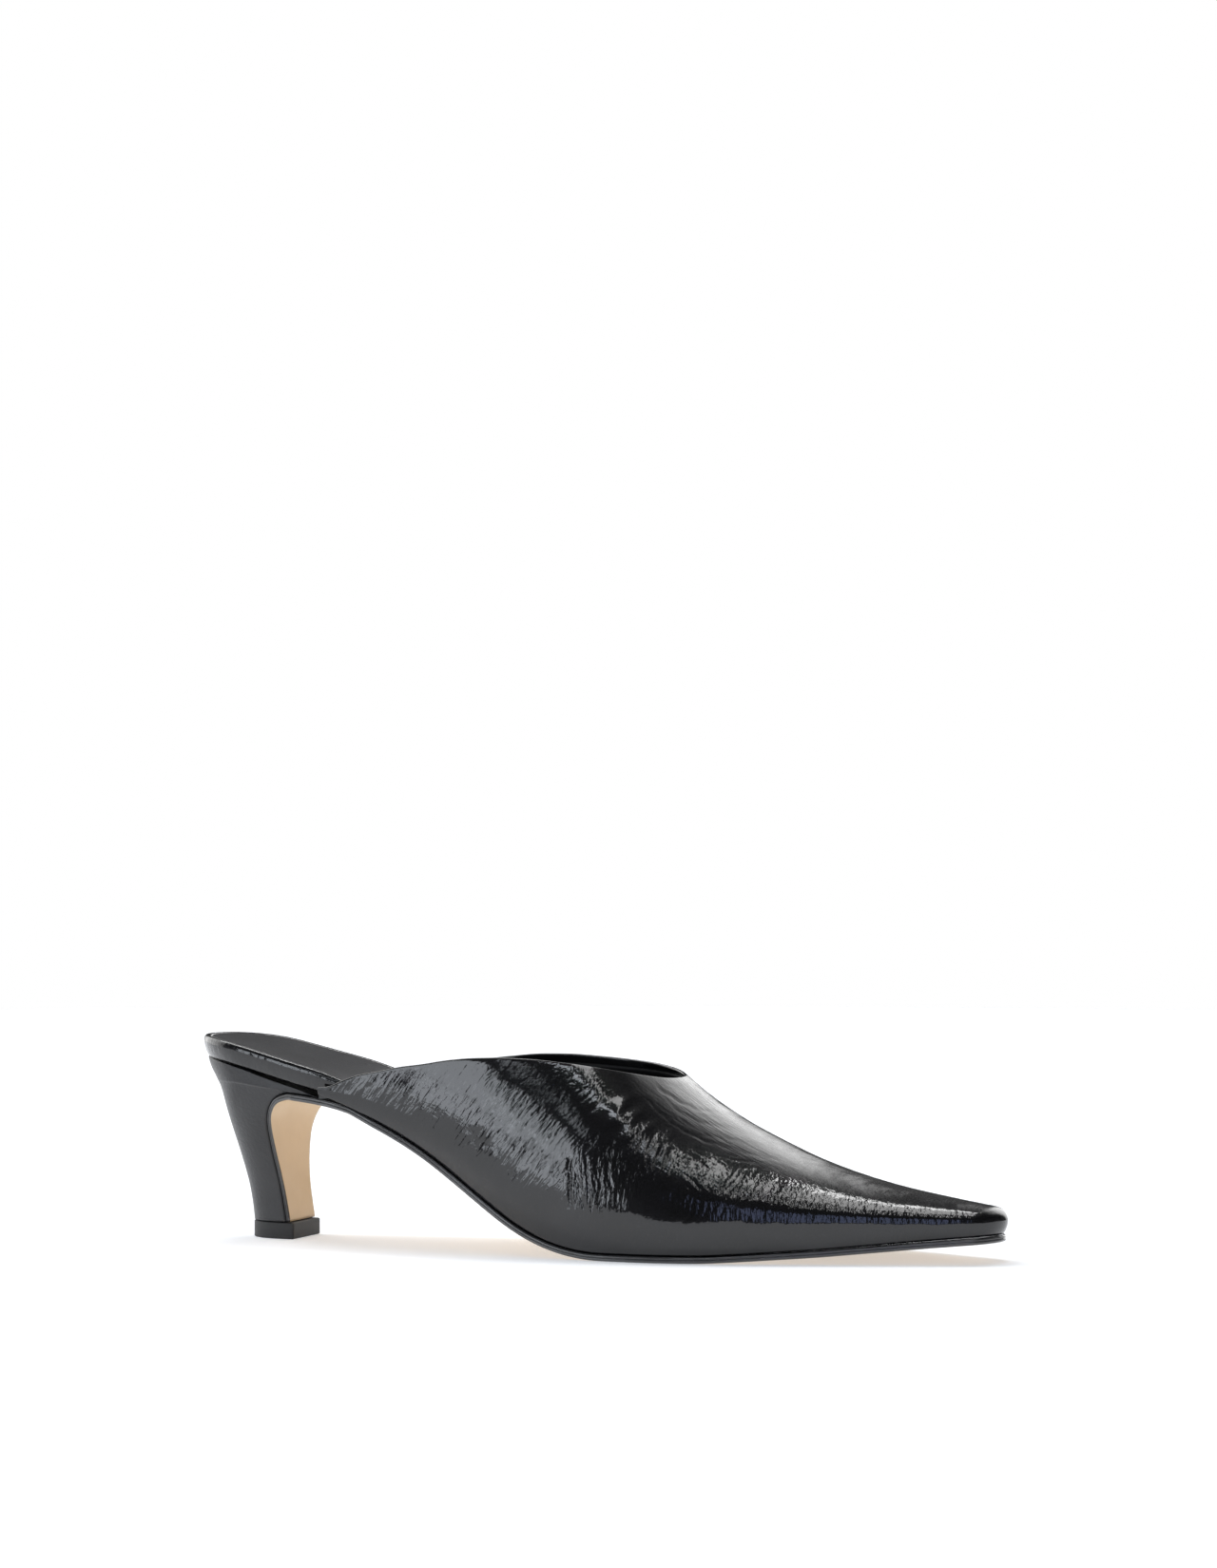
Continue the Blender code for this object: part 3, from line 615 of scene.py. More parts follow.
def ring_piece(name, rings, finishes, replaced, face_finish=None):
    """A piece with quads round a stack of rings and a face over each end."""
    count, around = rings.shape[:2]
    last = (count - 1) * around
    quads = grid_faces(count, around, closed=True).tolist()
    faces = quads + [list(range(around)), list(range(last, last + around))[::-1]]
    piece(name, rings, faces, finishes, (replaced,), face_finish)


# Wear creases, placed on the two sides. x and z are the middle of a group, angle is its lines'
# direction in degrees up from the toe's direction, and the lines lie spacing apart, side by side. width and
# depth are a trough's, bow is how far its middle bends out, and a depth below zero raises a ridge
CREASES = table(
    "side x z angle length count spacing width depth bow",
    ("outer", 0.1465, 0.0232, 98, 0.0170, 10, 0.0015, 0.00052, 0.00021, 0.0008),
    ("outer", 0.1605, 0.0358, 72, 0.0095, 5, 0.0013, 0.00045, 0.00018, 0.0004),
    ("outer", 0.1663, 0.0300, 80, 0.0115, 6, 0.0012, 0.00045, 0.00022, 0.0005),
    ("outer", 0.1380, 0.0275, 58, 0.0120, 3, 0.0022, 0.00060, 0.00014, 0.0008),
    ("outer", 0.1725, 0.0478, -27, 0.0330, 7, 0.0018, 0.00050, 0.00008, 0.0016),
    ("outer", 0.1750, 0.0495, -50, 0.0150, 3, 0.0030, 0.00055, 0.00009, -0.0010),
    ("outer", 0.1835, 0.0320, -15, 0.0360, 7, 0.0015, 0.00045, 0.00005, 0.0022),
    ("outer", 0.1915, 0.0238, 62, 0.0095, 8, 0.0012, 0.00042, 0.00012, 0.0006),
    ("outer", 0.1775, 0.0242, -42, 0.0120, 6, 0.0013, 0.00042, 0.00006, 0.0006),
    ("outer", 0.1270, 0.0520, 42, 0.0100, 9, 0.0015, 0.00050, 0.00011, 0.0004),
    ("outer", 0.1320, 0.0530, 63, 0.0120, 3, 0.0026, 0.00055, 0.00014, 0.0005),
    ("outer", 0.1435, 0.0495, 50, 0.0090, 4, 0.0020, 0.00050, 0.00012, 0.0005),
    ("outer", 0.1150, 0.0380, 50, 0.0240, 9, 0.0024, 0.00070, 0.00004, 0.0012),
    ("outer", 0.0920, 0.0470, 52, 0.0120, 9, 0.0022, 0.00065, 0.00004, 0.0006),
    ("outer", 0.1490, 0.0390, 76, 0.0080, 3, 0.0015, 0.00050, 0.00010, 0.0004),
    ("outer", 0.1790, 0.0180, 76, 0.0080, 9, 0.0021, 0.00060, 0.00008, 0.0004),
    ("outer", 0.1535, 0.0445, -50, 0.0240, 1, 0.0010, 0.00350, -0.00036, 0.0002),
    ("inner", 0.1480, 0.0220, 98, 0.0180, 8, 0.0018, 0.00055, 0.00020, 0.0010),
    ("inner", 0.1600, 0.0320, 70, 0.0130, 6, 0.0015, 0.00050, 0.00018, 0.0008),
    ("inner", 0.1720, 0.0470, -28, 0.0300, 5, 0.0022, 0.00055, 0.00009, 0.0016),
    ("inner", 0.1850, 0.0310, -16, 0.0320, 5, 0.0018, 0.00050, 0.00006, 0.0020),
    ("inner", 0.1900, 0.0230, 62, 0.0110, 6, 0.0015, 0.00045, 0.00012, 0.0008),
    ("inner", 0.1300, 0.0490, 46, 0.0120, 8, 0.0018, 0.00055, 0.00012, 0.0006),
    ("inner", 0.1100, 0.0380, 50, 0.0220, 8, 0.0026, 0.00075, 0.00005, 0.0012),
    ("inner", 0.1535, 0.0445, -50, 0.0240, 1, 0.0010, 0.00350, -0.00030, 0.0002),
)
CreaseLine = namedtuple("CreaseLine", "side x z angle length width depth bow phase")
CREASE_SEED = 7

# How a single line may differ from its group: its place and slide as shares of the spacing and the length,
# its turn in degrees, and the rest as ranges of shares of the group's own
PLACE_SPREAD = 0.25
SLIDE_SPREAD = 0.16
ANGLE_SPREAD = 7
LENGTH_RANGE = (0.6, 1.1)
WIDTH_RANGE = (0.8, 1.25)
DEPTH_RANGE = (0.5, 1.25)
BOW_RANGE = (0.2, 1.4)

# A line's section and course: how far it wavers as a share of its width and over which length, where its
# shoulders end in squared widths, how wide they are, and the share of its half length that fades out
WAVER = 0.25
WAVER_LENGTH = 0.006
SHOULDER_END = 12
SHOULDER_WIDTH = 1.4
END_FADE = 0.6

# Where the finer crinkles of the bump lie: a soft patch at x and z, of this reach along each, for one of
# the three directions that the lines take, in degrees up from the toe's direction
CRINKLE_ANGLES = (52, 88, -27)
CRINKLES = table(
    "direction x z reach_x reach_z strength",
    (0, 0.090, 0.045, 0.040, 0.030, 0.30),
    (0, 0.126, 0.052, 0.014, 0.010, 0.90),
    (0, 0.132, 0.030, 0.020, 0.014, 0.35),
    (1, 0.147, 0.020, 0.010, 0.014, 0.90),
    (1, 0.160, 0.033, 0.009, 0.010, 0.60),
    (1, 0.190, 0.020, 0.030, 0.009, 0.55),
    (1, 0.235, 0.016, 0.040, 0.010, 0.35),
    (2, 0.172, 0.048, 0.020, 0.012, 0.45),
    (2, 0.185, 0.032, 0.022, 0.008, 0.40),
)

# Where creases and crinkles have room: off the crest, where the normals point up more than CREST_LEVEL, and
# clear of a column's two ends. The steps are the reach of the soft steps there
CREST_LEVEL, CREST_STEP = 0.95, 0.12
FOOT_STEP = 0.03
TOP_ROOM, TOP_STEP = 0.25, 0.02


def side_fields(grid, normals):
    """Per side of the shoe: which of the grid's columns are on it, and where creases have room."""
    outer = np.arange(len(grid)) >= len(grid) // 2
    below_crest = ease((CREST_LEVEL - np.abs(normals[..., 2])) / CREST_STEP)
    rows = np.arange(grid.shape[1]) / (grid.shape[1] - 1)
    clear = ease(rows / FOOT_STEP) * ease((1.0 - rows) / TOP_STEP + TOP_ROOM)
    return {"inner": ~outer, "outer": outer}, below_crest * clear


def crease_lines():
    """The single lines of every group, each a little different from its neighbours."""
    draw = np.random.default_rng(CREASE_SEED)
    for group in CREASES:
        for i in range(group.count):
            place = i - (group.count - 1) / 2 + draw.uniform(-PLACE_SPREAD, PLACE_SPREAD)
            place *= group.spacing
            slide = draw.uniform(-SLIDE_SPREAD, SLIDE_SPREAD) * group.length
            angle = radians(group.angle + draw.uniform(-ANGLE_SPREAD, ANGLE_SPREAD))
            yield CreaseLine(
                side=group.side,
                x=group.x - place * sin(angle) + slide * cos(angle),
                z=group.z + place * cos(angle) + slide * sin(angle),
                angle=angle,
                length=group.length * draw.uniform(*LENGTH_RANGE),
                width=group.width * draw.uniform(*WIDTH_RANGE),
                depth=group.depth * draw.uniform(*DEPTH_RANGE),
                bow=group.bow * draw.uniform(*BOW_RANGE),
                phase=draw.uniform(0, 2 * pi),
            )


def crease_field(grid, normals):
    """Height of the wear creases over the upper's outer face: troughs between low shoulders."""
    height = np.zeros(grid.shape[:2])
    on_side, room = side_fields(grid, normals)
    for line in crease_lines():
        x, z = grid[..., 0] - line.x, grid[..., 2] - line.z
        along = x * cos(line.angle) + z * sin(line.angle)
        share = 2 * along / line.length
        waver = WAVER * line.width * np.sin(2 * pi * along / WAVER_LENGTH + line.phase)
        across = z * cos(line.angle) - x * sin(line.angle) + line.bow * (1 - share**2) + waver
        q = (across / line.width) ** 2
        near = on_side[line.side][:, None] & (q < SHOULDER_END) & (np.abs(share) < 1)
        trough = -(1 - q) * np.exp(-q / SHOULDER_WIDTH) * ease((1 - np.abs(share)) / END_FADE)
        height += np.where(near, line.depth * trough, 0.0)
    return height * room


def crinkle_weights(grid, normals):
    """How strongly the bump's crinkles of each direction show at each point."""
    weights = np.zeros(grid.shape)
    for patch in CRINKLES:
        along = (grid[..., 0] - patch.x) / patch.reach_x
        up = (grid[..., 2] - patch.z) / patch.reach_z
        weights[..., patch.direction] += patch.strength * np.exp(-(along**2 + up**2))
    return weights * side_fields(grid, normals)[1][..., None]


def turned_rim(grid, normals):
    """The half-round fold along the topline and the margin that is turned in behind it, as more rows."""
    top, out = grid[:, -1], normals[:, -1]
    upward = grid[:, -1] - grid[:, -2]
    upward -= out * (upward * out).sum(axis=1, keepdims=True)
    upward /= np.linalg.norm(upward, axis=1, keepdims=True)
    radius = MARGIN_WALL / 2
    centre = top - out * radius
    turns = np.linspace(0, pi, RIM_STEPS)[1:]
    depths = np.linspace(0, MARGIN_DEPTH, MARGIN_STEPS)[1:]
    rows = [centre + radius * (out * np.cos(turn) + upward * np.sin(turn)) for turn in turns]
    rows += [top - out * MARGIN_WALL - upward * depth for depth in depths]
    return np.stack(rows, axis=1)


def build_upper(finish, lining):
    """The patent skin with its folded topline, and the lining inside it."""
    grid = upper_grid()
    normals = grid_normals(grid)
    weights = crinkle_weights(grid, normals)
    grid = grid + normals * crease_field(grid, normals)[..., None]
    rim = turned_rim(grid, normals)
    tuck_in = grid[:, 0] - normals[:, 0] * FEATHER_TUCK
    tuck_in[:, 2] -= GAP
    skin = np.concatenate([tuck_in[:, None], grid, rim], axis=1)
    rim_weights = np.repeat(weights[:, -1:], rim.shape[1], axis=1)
    all_weights = np.concatenate([weights[:, :1], weights, rim_weights], axis=1)
    faces = grid_faces(*skin.shape[:2])
    piece("upper_skin", skin, faces, [finish], ("upper",), weights=all_weights)
    inside = grid - normals * MARGIN_WALL
    rows = []
    for column, out in zip(inside, normals):
        run = lengths_along(column)
        wanted = np.linspace(0, run[-1] - MARGIN_DEPTH + LINING_STEP, LINING_ROWS)
        base = spread(column, wanted)
        away = columns(*(np.interp(wanted, run, part) for part in out.T))
        raised = base - away * (UPPER_WALL - MARGIN_WALL)
        rows.append(np.concatenate([raised, base[-1:]]))
    sheet = np.array(rows)
    piece("lining", sheet, grid_faces(*sheet.shape[:2]), [lining], ())


# Plates: rings across an outline, whose edges follow a rounded profile of insets and depths
def round_edge(thickness, top_round, bottom_round):
    """Inset from the outline and depth under the top face, round a plate's edge from top to bottom."""
    turns = np.linspace(0, pi / 2, EDGE_STEPS)
    upper = [(top_round * (1 - np.sin(a)), top_round * (1 - np.cos(a))) for a in turns]
    lower = [
        (bottom_round * (1 - np.cos(a)), thickness - bottom_round * (1 - np.sin(a))) for a in turns
    ]
    return np.array(upper + lower)


def plate_rings(us, offset, edge, top, bottom):
    """Rings across the outline: the top from inner to outer, the outer edge, the bottom, the inner edge."""
    rings = []
    for u in us:
        sides = {}
        for side in SIGN:
            insets = offset(float(outline_place(u))) - edge[:, 0]
            x, y = outline_point(np.full(len(edge), u), side, insets)
            if u > 0.5:
                y = SIGN[side] * np.maximum(SIGN[side] * y, 0.0)
            z = mix(top(x, y), bottom(x, y), edge[:, 1] / edge[-1, 1])
            sides[side] = columns(x, y, z)
        shares = np.linspace(0, 1, PLATE_ACROSS)[1:-1, None]
        over = mix(sides["inner"][0], sides["outer"][0], shares)
        over[:, 2] = top(over[:, 0], over[:, 1])
        under = mix(sides["outer"][-1], sides["inner"][-1], shares)
        under[:, 2] = bottom(under[:, 0], under[:, 1])
        rings.append(np.concatenate([over, sides["outer"], under, sides["inner"][::-1]]))
    return np.array(rings)


# The wrapped insole's edge from inside the sock's edge over a low roll and down to its underside: inset,
# and depth as a share of the insole's thickness
WRAP_EDGE = np.array(
    [
        (0.0028, 0.000), (0.0025, -0.030), (0.0023, -0.120), (0.0021, -0.180),
        (0.0017, -0.212), (0.0012, -0.214), (0.0008, -0.195), (0.0005, -0.150),
        (0.0002, -0.070), (0.0000, 0.040), (0.0000, 0.220), (0.0002, 0.400),
        (0.0005, 0.600), (0.0009, 0.780), (0.0012, 0.900), (0.0015, 0.975),
        (0.0018, 1.000),
    ]
)
SOCK_ROUND = (0.0004, 0.0002)


def build_insole(finish):
    us = np.linspace(0.0, 1.0, PLATE_STEPS)
    rings = plate_rings(us, lambda x: 0.0, WRAP_EDGE, insole_top, insole_underside)
    ring_piece("insole_wrap", rings, [finish], "insole")


def build_sock(finish):
    us = np.linspace(0.0, 1.0, PLATE_STEPS)
    us = us[outline_point(us, "inner", -SOCK_INSET)[0] < LAST_LENGTH - SOCK_TOE_GAP]
    edge = round_edge(SOCK_THICKNESS, *SOCK_ROUND)
    rings = plate_rings(us, lambda x: -SOCK_INSET, edge, sock_top, sock_underside)
    ring_piece("sock_sheet", rings, [finish], "sock")


# The outsole and its flap
def sole_offset(x):
    """How far the outsole's edge stands outside the insole's outline: nothing where it meets the heel."""
    return (OUTSIDE + SOLE_MARGIN) * ease((x - WING_TIP) / SOLE_FLARE)


BREAST_TOP = BREAST_FOOT - BREAST[0].setback * SEAT_WIDTH
LEAD_SHARES = (-0.5, -0.25)
LEAD_PLACES = [mix(BREAST_TOP, BREAST_FOOT, share) for share in LEAD_SHARES]
BREAST_PATH = [
    (x, float(sole_underside(x)), float(half_width(x, "inner"))) for x in LEAD_PLACES
] + [
    (
        BREAST_FOOT - row.setback * SEAT_WIDTH,
        mix(HEEL_BASE, float(sole_underside(BREAST_TOP)), row.height),
        row.half_width * SEAT_WIDTH,
    )
    for row in BREAST
]
LEAD_ROWS = len(LEAD_PLACES)
TURN_ROWS = 3
LAST_ROW = len(BREAST_PATH) - 1
PATH_SMOOTHING = 0.3
PATH_STEP = 0.05
SHANK_JOIN = 0.0006
BREAST_X, BREAST_Z, BREAST_HALF = (
    soft_curve(range(LAST_ROW + 1), values, PATH_SMOOTHING) for values in zip(*BREAST_PATH)
)


def breast_point(t, depth):
    """Points of the breast's path at table rows t, moved by depth from the front face toward the heel."""
    t0, t1 = np.maximum(t - PATH_STEP, 0), np.minimum(t + PATH_STEP, LAST_ROW)
    along = np.stack([BREAST_X(t1) - BREAST_X(t0), BREAST_Z(t1) - BREAST_Z(t0)])
    along = along / np.linalg.norm(along, axis=0)
    return BREAST_X(t) + depth * along[1], BREAST_Z(t) - depth * along[0]


def flap_thickness(t):
    """The sole is skived from its full thickness to the flap's over the turn."""
    return mix(SOLE_THICKNESS, FLAP_THICKNESS, ease((t - LEAD_ROWS) / TURN_ROWS))


# The sole's edge from its top face to its underside: inset and depth, with the fine groove of the welt
SOLE_EDGE = np.array(
    [
        (0.00085, 0.00000), (0.00055, 0.00003), (0.00030, 0.00013), (0.00012, 0.00030),
        (0.00002, 0.00052), (0.00004, 0.00072), (0.00022, 0.00084), (0.00036, 0.00092),
        (0.00022, 0.00100), (0.00004, 0.00112), (0.00000, 0.00130), (0.00004, 0.00152),
        (0.00014, 0.00172), (0.00032, 0.00190), (0.00060, 0.00200),
    ]
)


def flap_ring(t):
    """A section across the flap at table row t, in the order of a plate's ring."""
    half = float(BREAST_HALF(t))
    front_x, front_z = breast_point(t, 0.0)
    back_x, back_z = breast_point(t, float(flap_thickness(t)))
    if t == LAST_ROW:
        back_z = front_z = HEEL_BASE
    depth = SOLE_EDGE[:, 1] / SOLE_EDGE[-1, 1]
    edge_x, edge_z = mix(back_x, front_x, depth), mix(back_z, front_z, depth)
    inner = columns(edge_x, half - SOLE_EDGE[:, 0], edge_z)
    shares = np.linspace(1, -1, PLATE_ACROSS)[1:-1]
    count = PLATE_ACROSS - 2
    over = [np.full(count, back_x), shares * inner[0, 1], np.full(count, back_z)]
    under = [np.full(count, front_x), -shares * inner[-1, 1], np.full(count, front_z)]
    outer = inner * (1, -1, 1)
    return np.concatenate([columns(*over), outer, columns(*under), inner[::-1]])


def build_outsole(leather, edge_paint):
    """The sole from the toe through the shank, and the flap that it turns down over the heel's breast."""
    us = np.linspace(1.0, 0.0, 2 * PLATE_STEPS)
    us = us[outline_place(us) > LEAD_PLACES[0] + SHANK_JOIN]
    plate = plate_rings(us, sole_offset, SOLE_EDGE, sole_top, sole_underside)
    flap = [flap_ring(t) for t in np.linspace(0, LAST_ROW, FLAP_STEPS)]
    rings = np.concatenate([plate, np.array(flap)])
    rows = np.arange(rings.shape[1])
    bare_from = PLATE_ACROSS - 2 + len(SOLE_EDGE) - 1
    painted = (rows < bare_from) | (rows >= bare_from + PLATE_ACROSS - 1)
    face_finish = np.append(np.tile(painted.astype(np.int32), len(rings) - 1), [0, 0])
    finishes = [leather, edge_paint]
    ring_piece("outsole_leather", rings, finishes, "outsole", face_finish)


# The heel and its top lift
def heel_seat(x):
    """Height of the heel's upper face, just under the insole."""
    return seat_line(x) - GAP * lean(x)


def heel_front_points():
    """x, z and the two half widths along the heel's front: up behind the flap, then over the shank."""
    t = np.linspace(LAST_ROW, LEAD_ROWS, HEEL_SAMPLES)
    x, z = breast_point(t, flap_thickness(t) + GAP)
    z[0] = HEEL_BASE
    rising = columns(x, z, BREAST_HALF(t), BREAST_HALF(t))
    x = np.linspace(rising[-1][0], WEDGE_TIP, SHANK_SAMPLES)[1:]
    shank = [x, sole_top(x) + GAP * lean(x), half_width(x, "inner"), half_width(x, "outer")]
    return np.concatenate([rising, columns(*shank)])


def heel_back_points():
    heights, forwards = zip(*HEEL_BACK)
    shares = np.linspace(0, 1, HEEL_SAMPLES)
    forward = soft_curve(heights, forwards, BACK_SMOOTHING)(shares) * HEEL_TIP_BACK
    return columns(forward, mix(HEEL_BASE, float(heel_seat(0.0)), shares))


def rounded_share(share, power):
    """Half width of a D-shaped section, as a share, from 0 at its round back to 1 at its flat front."""
    return np.maximum(0.0, 1 - (1 - share) ** power) ** (1 / power)


def heel_ring(front, back, climb):
    """One section of the heel from its back line to its front line, bent up into the seat's shape."""
    seat_like = ease((climb - SEAT_BLEND) / (1 - SEAT_BLEND))
    tuck = HEEL_TUCK * ease((climb - HEEL_TUCK_FROM) / (1 - HEEL_TUCK_FROM))
    share = np.linspace(0, 1, D_POINTS + 1) ** 2
    seat_x = share * WEDGE_TIP
    bend = heel_seat(seat_x) - mix(float(heel_seat(0.0)), float(heel_seat(WEDGE_TIP)), share)
    z = mix(back[1], front[1], share) + seat_like * bend
    if climb == 1:
        z = heel_seat(seat_x)
    sides = []
    for side, front_half in zip(SIGN, front[2:]):
        seat_share = half_width(seat_x, side) / half_width(WEDGE_TIP, side)
        half = front_half * mix(rounded_share(share, HEEL_ROUNDNESS), seat_share, seat_like)
        half = half * (1 - tuck / (SEAT_WIDTH / 2))
        sides.append(columns(mix(back[0] + tuck, front[0], share), SIGN[side] * half, z))
    return np.concatenate([sides[0], sides[1][:0:-1]])


def build_heel(finish):
    climbs = np.linspace(0, 1, HEEL_RINGS)
    front_line, back_line = heel_front_points(), heel_back_points()
    fronts = spread(front_line, climbs * lengths_along(front_line[:, :2])[-1])
    backs = spread(back_line, climbs * lengths_along(back_line)[-1])
    rings = np.array([heel_ring(*section) for section in zip(fronts, backs, climbs)])
    ring_piece("heel_cover", rings, [finish], "heel")


# The lift's lower edge from inside its underside out over the bevel: height and inset. Its upper edge is
# the same
LIFT_FACE_INSETS = (0.008, 0.002, 0.0004)
LIFT_EDGE = [(0.0, inset) for inset in LIFT_FACE_INSETS] + [
    (LIFT_BEVEL / 2, LIFT_BEVEL / 2),
    (LIFT_BEVEL, 0.0),
]
LIFT_WALL = np.linspace(0.1, 0.9, 9)


def build_top_lift(finish):
    """The rubber lift, its edge a little proud of the heel's foot."""
    wall = [(LIFT_THICKNESS * share, 0.0) for share in LIFT_WALL]
    high = [(LIFT_THICKNESS - z, inset) for z, inset in LIFT_EDGE[::-1]]
    share = np.linspace(0, 1, D_POINTS + 1) ** 2
    rings = []
    for z, inset in LIFT_EDGE + wall + high:
        front, back = BREAST_FOOT + LIFT_OVERHANG - inset, HEEL_TIP_BACK - LIFT_PROUD + inset
        half = HEEL_TIP_WIDTH / 2 + LIFT_PROUD - inset
        rounded = half * rounded_share(share, HEEL_ROUNDNESS)
        side = columns(mix(back, front, share), rounded)
        flat = half * np.linspace(1, -1, PLATE_ACROSS)[1:-1]
        breast = columns(np.full(len(flat), front), flat)
        plan = np.concatenate([side, breast, (side * (1, -1))[:0:-1]])
        rings.append(np.column_stack([plan, np.full(len(plan), z)]))
    ring_piece("lift_block", np.array(rings), [finish], "top_lift")


# Materials
def new_material(name, **settings):
    """A Principled material, its uniform values set straight on the shader."""
    made = bpy.data.materials.new(name)
    made.use_nodes = True
    shader = made.node_tree.nodes["Principled BSDF"]
    for key, value in settings.items():
        shader.inputs[key.replace("_", " ")].default_value = value
    return made, made.node_tree, shader


def node(tree, kind, sockets=None, **settings):
    """A new shader node whose sockets are set to values or linked to other nodes' outputs."""
    made = tree.nodes.new("ShaderNode" + kind)
    for key, value in settings.items():
        setattr(made, key, value)
    for key, value in (sockets or {}).items():
        if isinstance(value, bpy.types.NodeSocket):
            tree.links.new(value, made.inputs[key])
        else:
            made.inputs[key].default_value = value
    return made


def noise(tree, scale, detail=2.0, rough=0.5, distortion=0.0, angle=0.0, stretch=1.0):
    """A noise in the object's own metres, scale bumps to the metre, stretched in x and z."""
    place = node(tree, "TexCoord").outputs["Object"]
    turn = {"Vector": place, "Rotation": (0, -radians(angle), 0), "Scale": (stretch, 1, 1)}
    mapped = node(tree, "Mapping", turn, vector_type="TEXTURE").outputs["Vector"]
    look = {"Scale": scale, "Detail": detail, "Roughness": rough, "Distortion": distortion}
    return node(tree, "TexNoise", {"Vector": mapped, **look}).outputs["Fac"]


def ranged(tree, source, low, high, from_low=0.3, from_high=0.7):
    """The source's value brought to a new range."""
    ends = {"From Min": from_low, "From Max": from_high, "To Min": low, "To Max": high}
    return node(tree, "MapRange", {"Value": source, **ends}).outputs["Result"]


def worked(tree, operation, first, second):
    """The two values added, multiplied or compared."""
    return node(tree, "Math", {0: first, 1: second}, operation=operation).outputs["Value"]


def bumped(tree, height, depth, below=None):
    """A bump of this depth in metres, laid over another bump."""
    sockets = {"Strength": 1.0, "Distance": depth, "Height": height}
    if below is not None:
        sockets["Normal"] = below
    return node(tree, "Bump", sockets).outputs["Normal"]


def coloured(tree, source, low, high):
    """A colour that runs between two colours with the source's value."""
    ends = {"Factor": source, "A": (*low, 1), "B": (*high, 1)}
    return node(tree, "Mix", ends, data_type="RGBA").outputs["Result"]


def weighted_crinkles(tree):
    """Fine crinkles in three directions, each as strong as the skin's own weights say."""
    weights = node(tree, "Attribute", attribute_name=CRINKLE_WEIGHTS).outputs["Vector"]
    parts = node(tree, "SeparateXYZ", {"Vector": weights})
    total = None
    for angle, weight in zip(CRINKLE_ANGLES, parts.outputs):
        lines = noise(tree, CRINKLE_SCALE, rough=0.45, distortion=0.35, angle=angle, stretch=6)
        part = worked(tree, "MULTIPLY", lines, weight)
        total = part if total is None else worked(tree, "ADD", total, part)
    return total


# Bumps of the patent leather: how many there are to the metre, and their depth in metres
SWELL_SCALE, SWELL_DEPTH = 70, 0.0005
RIPPLE_SCALE, RIPPLE_DEPTH = 900, 0.00003
GRAIN_SCALE, GRAIN_DEPTH = 1300, 0.000012
CRINKLE_SCALE, CRINKLE_DEPTH = 900, 0.00026
FOLD_SCALE, FOLD_DEPTH = 600, 0.00016


def patent_leather(name, crinkled):
    """Black patent: a clear hard coat over leather, crinkled by wear or lightly folded all over."""
    made, tree, shader = new_material(
        name, IOR=1.5, Specular_IOR_Level=0.1, Coat_Weight=1.0, Coat_Roughness=0.03, Coat_IOR=1.55
    )
    swell = noise(tree, SWELL_SCALE)
    grain = noise(tree, GRAIN_SCALE)
    ripple = noise(tree, RIPPLE_SCALE, distortion=0.3, angle=62, stretch=3.5)
    normal = bumped(tree, swell, SWELL_DEPTH)
    normal = bumped(tree, ripple, RIPPLE_DEPTH, normal)
    normal = bumped(tree, grain, GRAIN_DEPTH, normal)
    if crinkled:
        normal = bumped(tree, weighted_crinkles(tree), CRINKLE_DEPTH, normal)
    else:
        folds = noise(tree, FOLD_SCALE, distortion=0.5, angle=80, stretch=3)
        normal = bumped(tree, folds, FOLD_DEPTH, normal)
    tree.links.new(normal, shader.inputs["Normal"])
    tree.links.new(normal, shader.inputs["Coat Normal"])
    tree.links.new(ranged(tree, grain, 0.26, 0.40), shader.inputs["Roughness"])
    tint = coloured(tree, ranged(tree, swell, 0, 1), (0.0025, 0.0025, 0.003), (0.005, 0.005, 0.0065))
    tree.links.new(tint, shader.inputs["Base Color"])
    return made


# Leathers, paint and rubber of two close tones: their middle roughness, the bumps of their grain to the
# metre and its depth in metres
LEATHERS = table(
    "name low high roughness grain depth coat coat_roughness specular",
    ("heel_cover", (0.022, 0.022, 0.023), (0.030, 0.030, 0.032), 0.36, 900, 0.00016, 0.0, 0.2, 0.5),
    ("sock_leather", (0.028, 0.028, 0.030), (0.042, 0.042, 0.046), 0.38, 1400, 0.00008, 0.0, 0.2, 0.45),
    ("sole_leather", (0.66, 0.49, 0.30), (0.72, 0.55, 0.36), 0.55, 2600, 0.00003, 0.0, 0.2, 0.5),
    ("edge_paint", (0.030, 0.030, 0.031), (0.050, 0.050, 0.052), 0.34, 1400, 0.00003, 1.0, 0.12, 0.5),
    ("lift_rubber", (0.020, 0.020, 0.021), (0.030, 0.030, 0.031), 0.6, 3200, 0.00003, 0.0, 0.2, 0.5),
    ("lining_leather", (0.006, 0.006, 0.0065), (0.010, 0.010, 0.011), 0.5, 2400, 0.00003, 0.0, 0.2, 0.25),
)
UNEVENNESS = 0.06
TONE_SCALE = 60


def plain_leather(row):
    """A material of the table's, whose roughness and tone stray a little from their middles."""
    made, tree, shader = new_material(
        row.name,
        Coat_Weight=row.coat,
        Coat_Roughness=row.coat_roughness,
        Specular_IOR_Level=row.specular,
    )
    broad = noise(tree, TONE_SCALE, detail=3.0)
    fine = noise(tree, row.grain, detail=4.0, rough=0.6)
    tree.links.new(bumped(tree, fine, row.depth), shader.inputs["Normal"])
    uneven = ranged(tree, fine, row.roughness - UNEVENNESS, row.roughness + UNEVENNESS)
    tree.links.new(uneven, shader.inputs["Roughness"])
    tint = coloured(tree, ranged(tree, broad, 0, 1), row.low, row.high)
    tree.links.new(tint, shader.inputs["Base Color"])
    return made


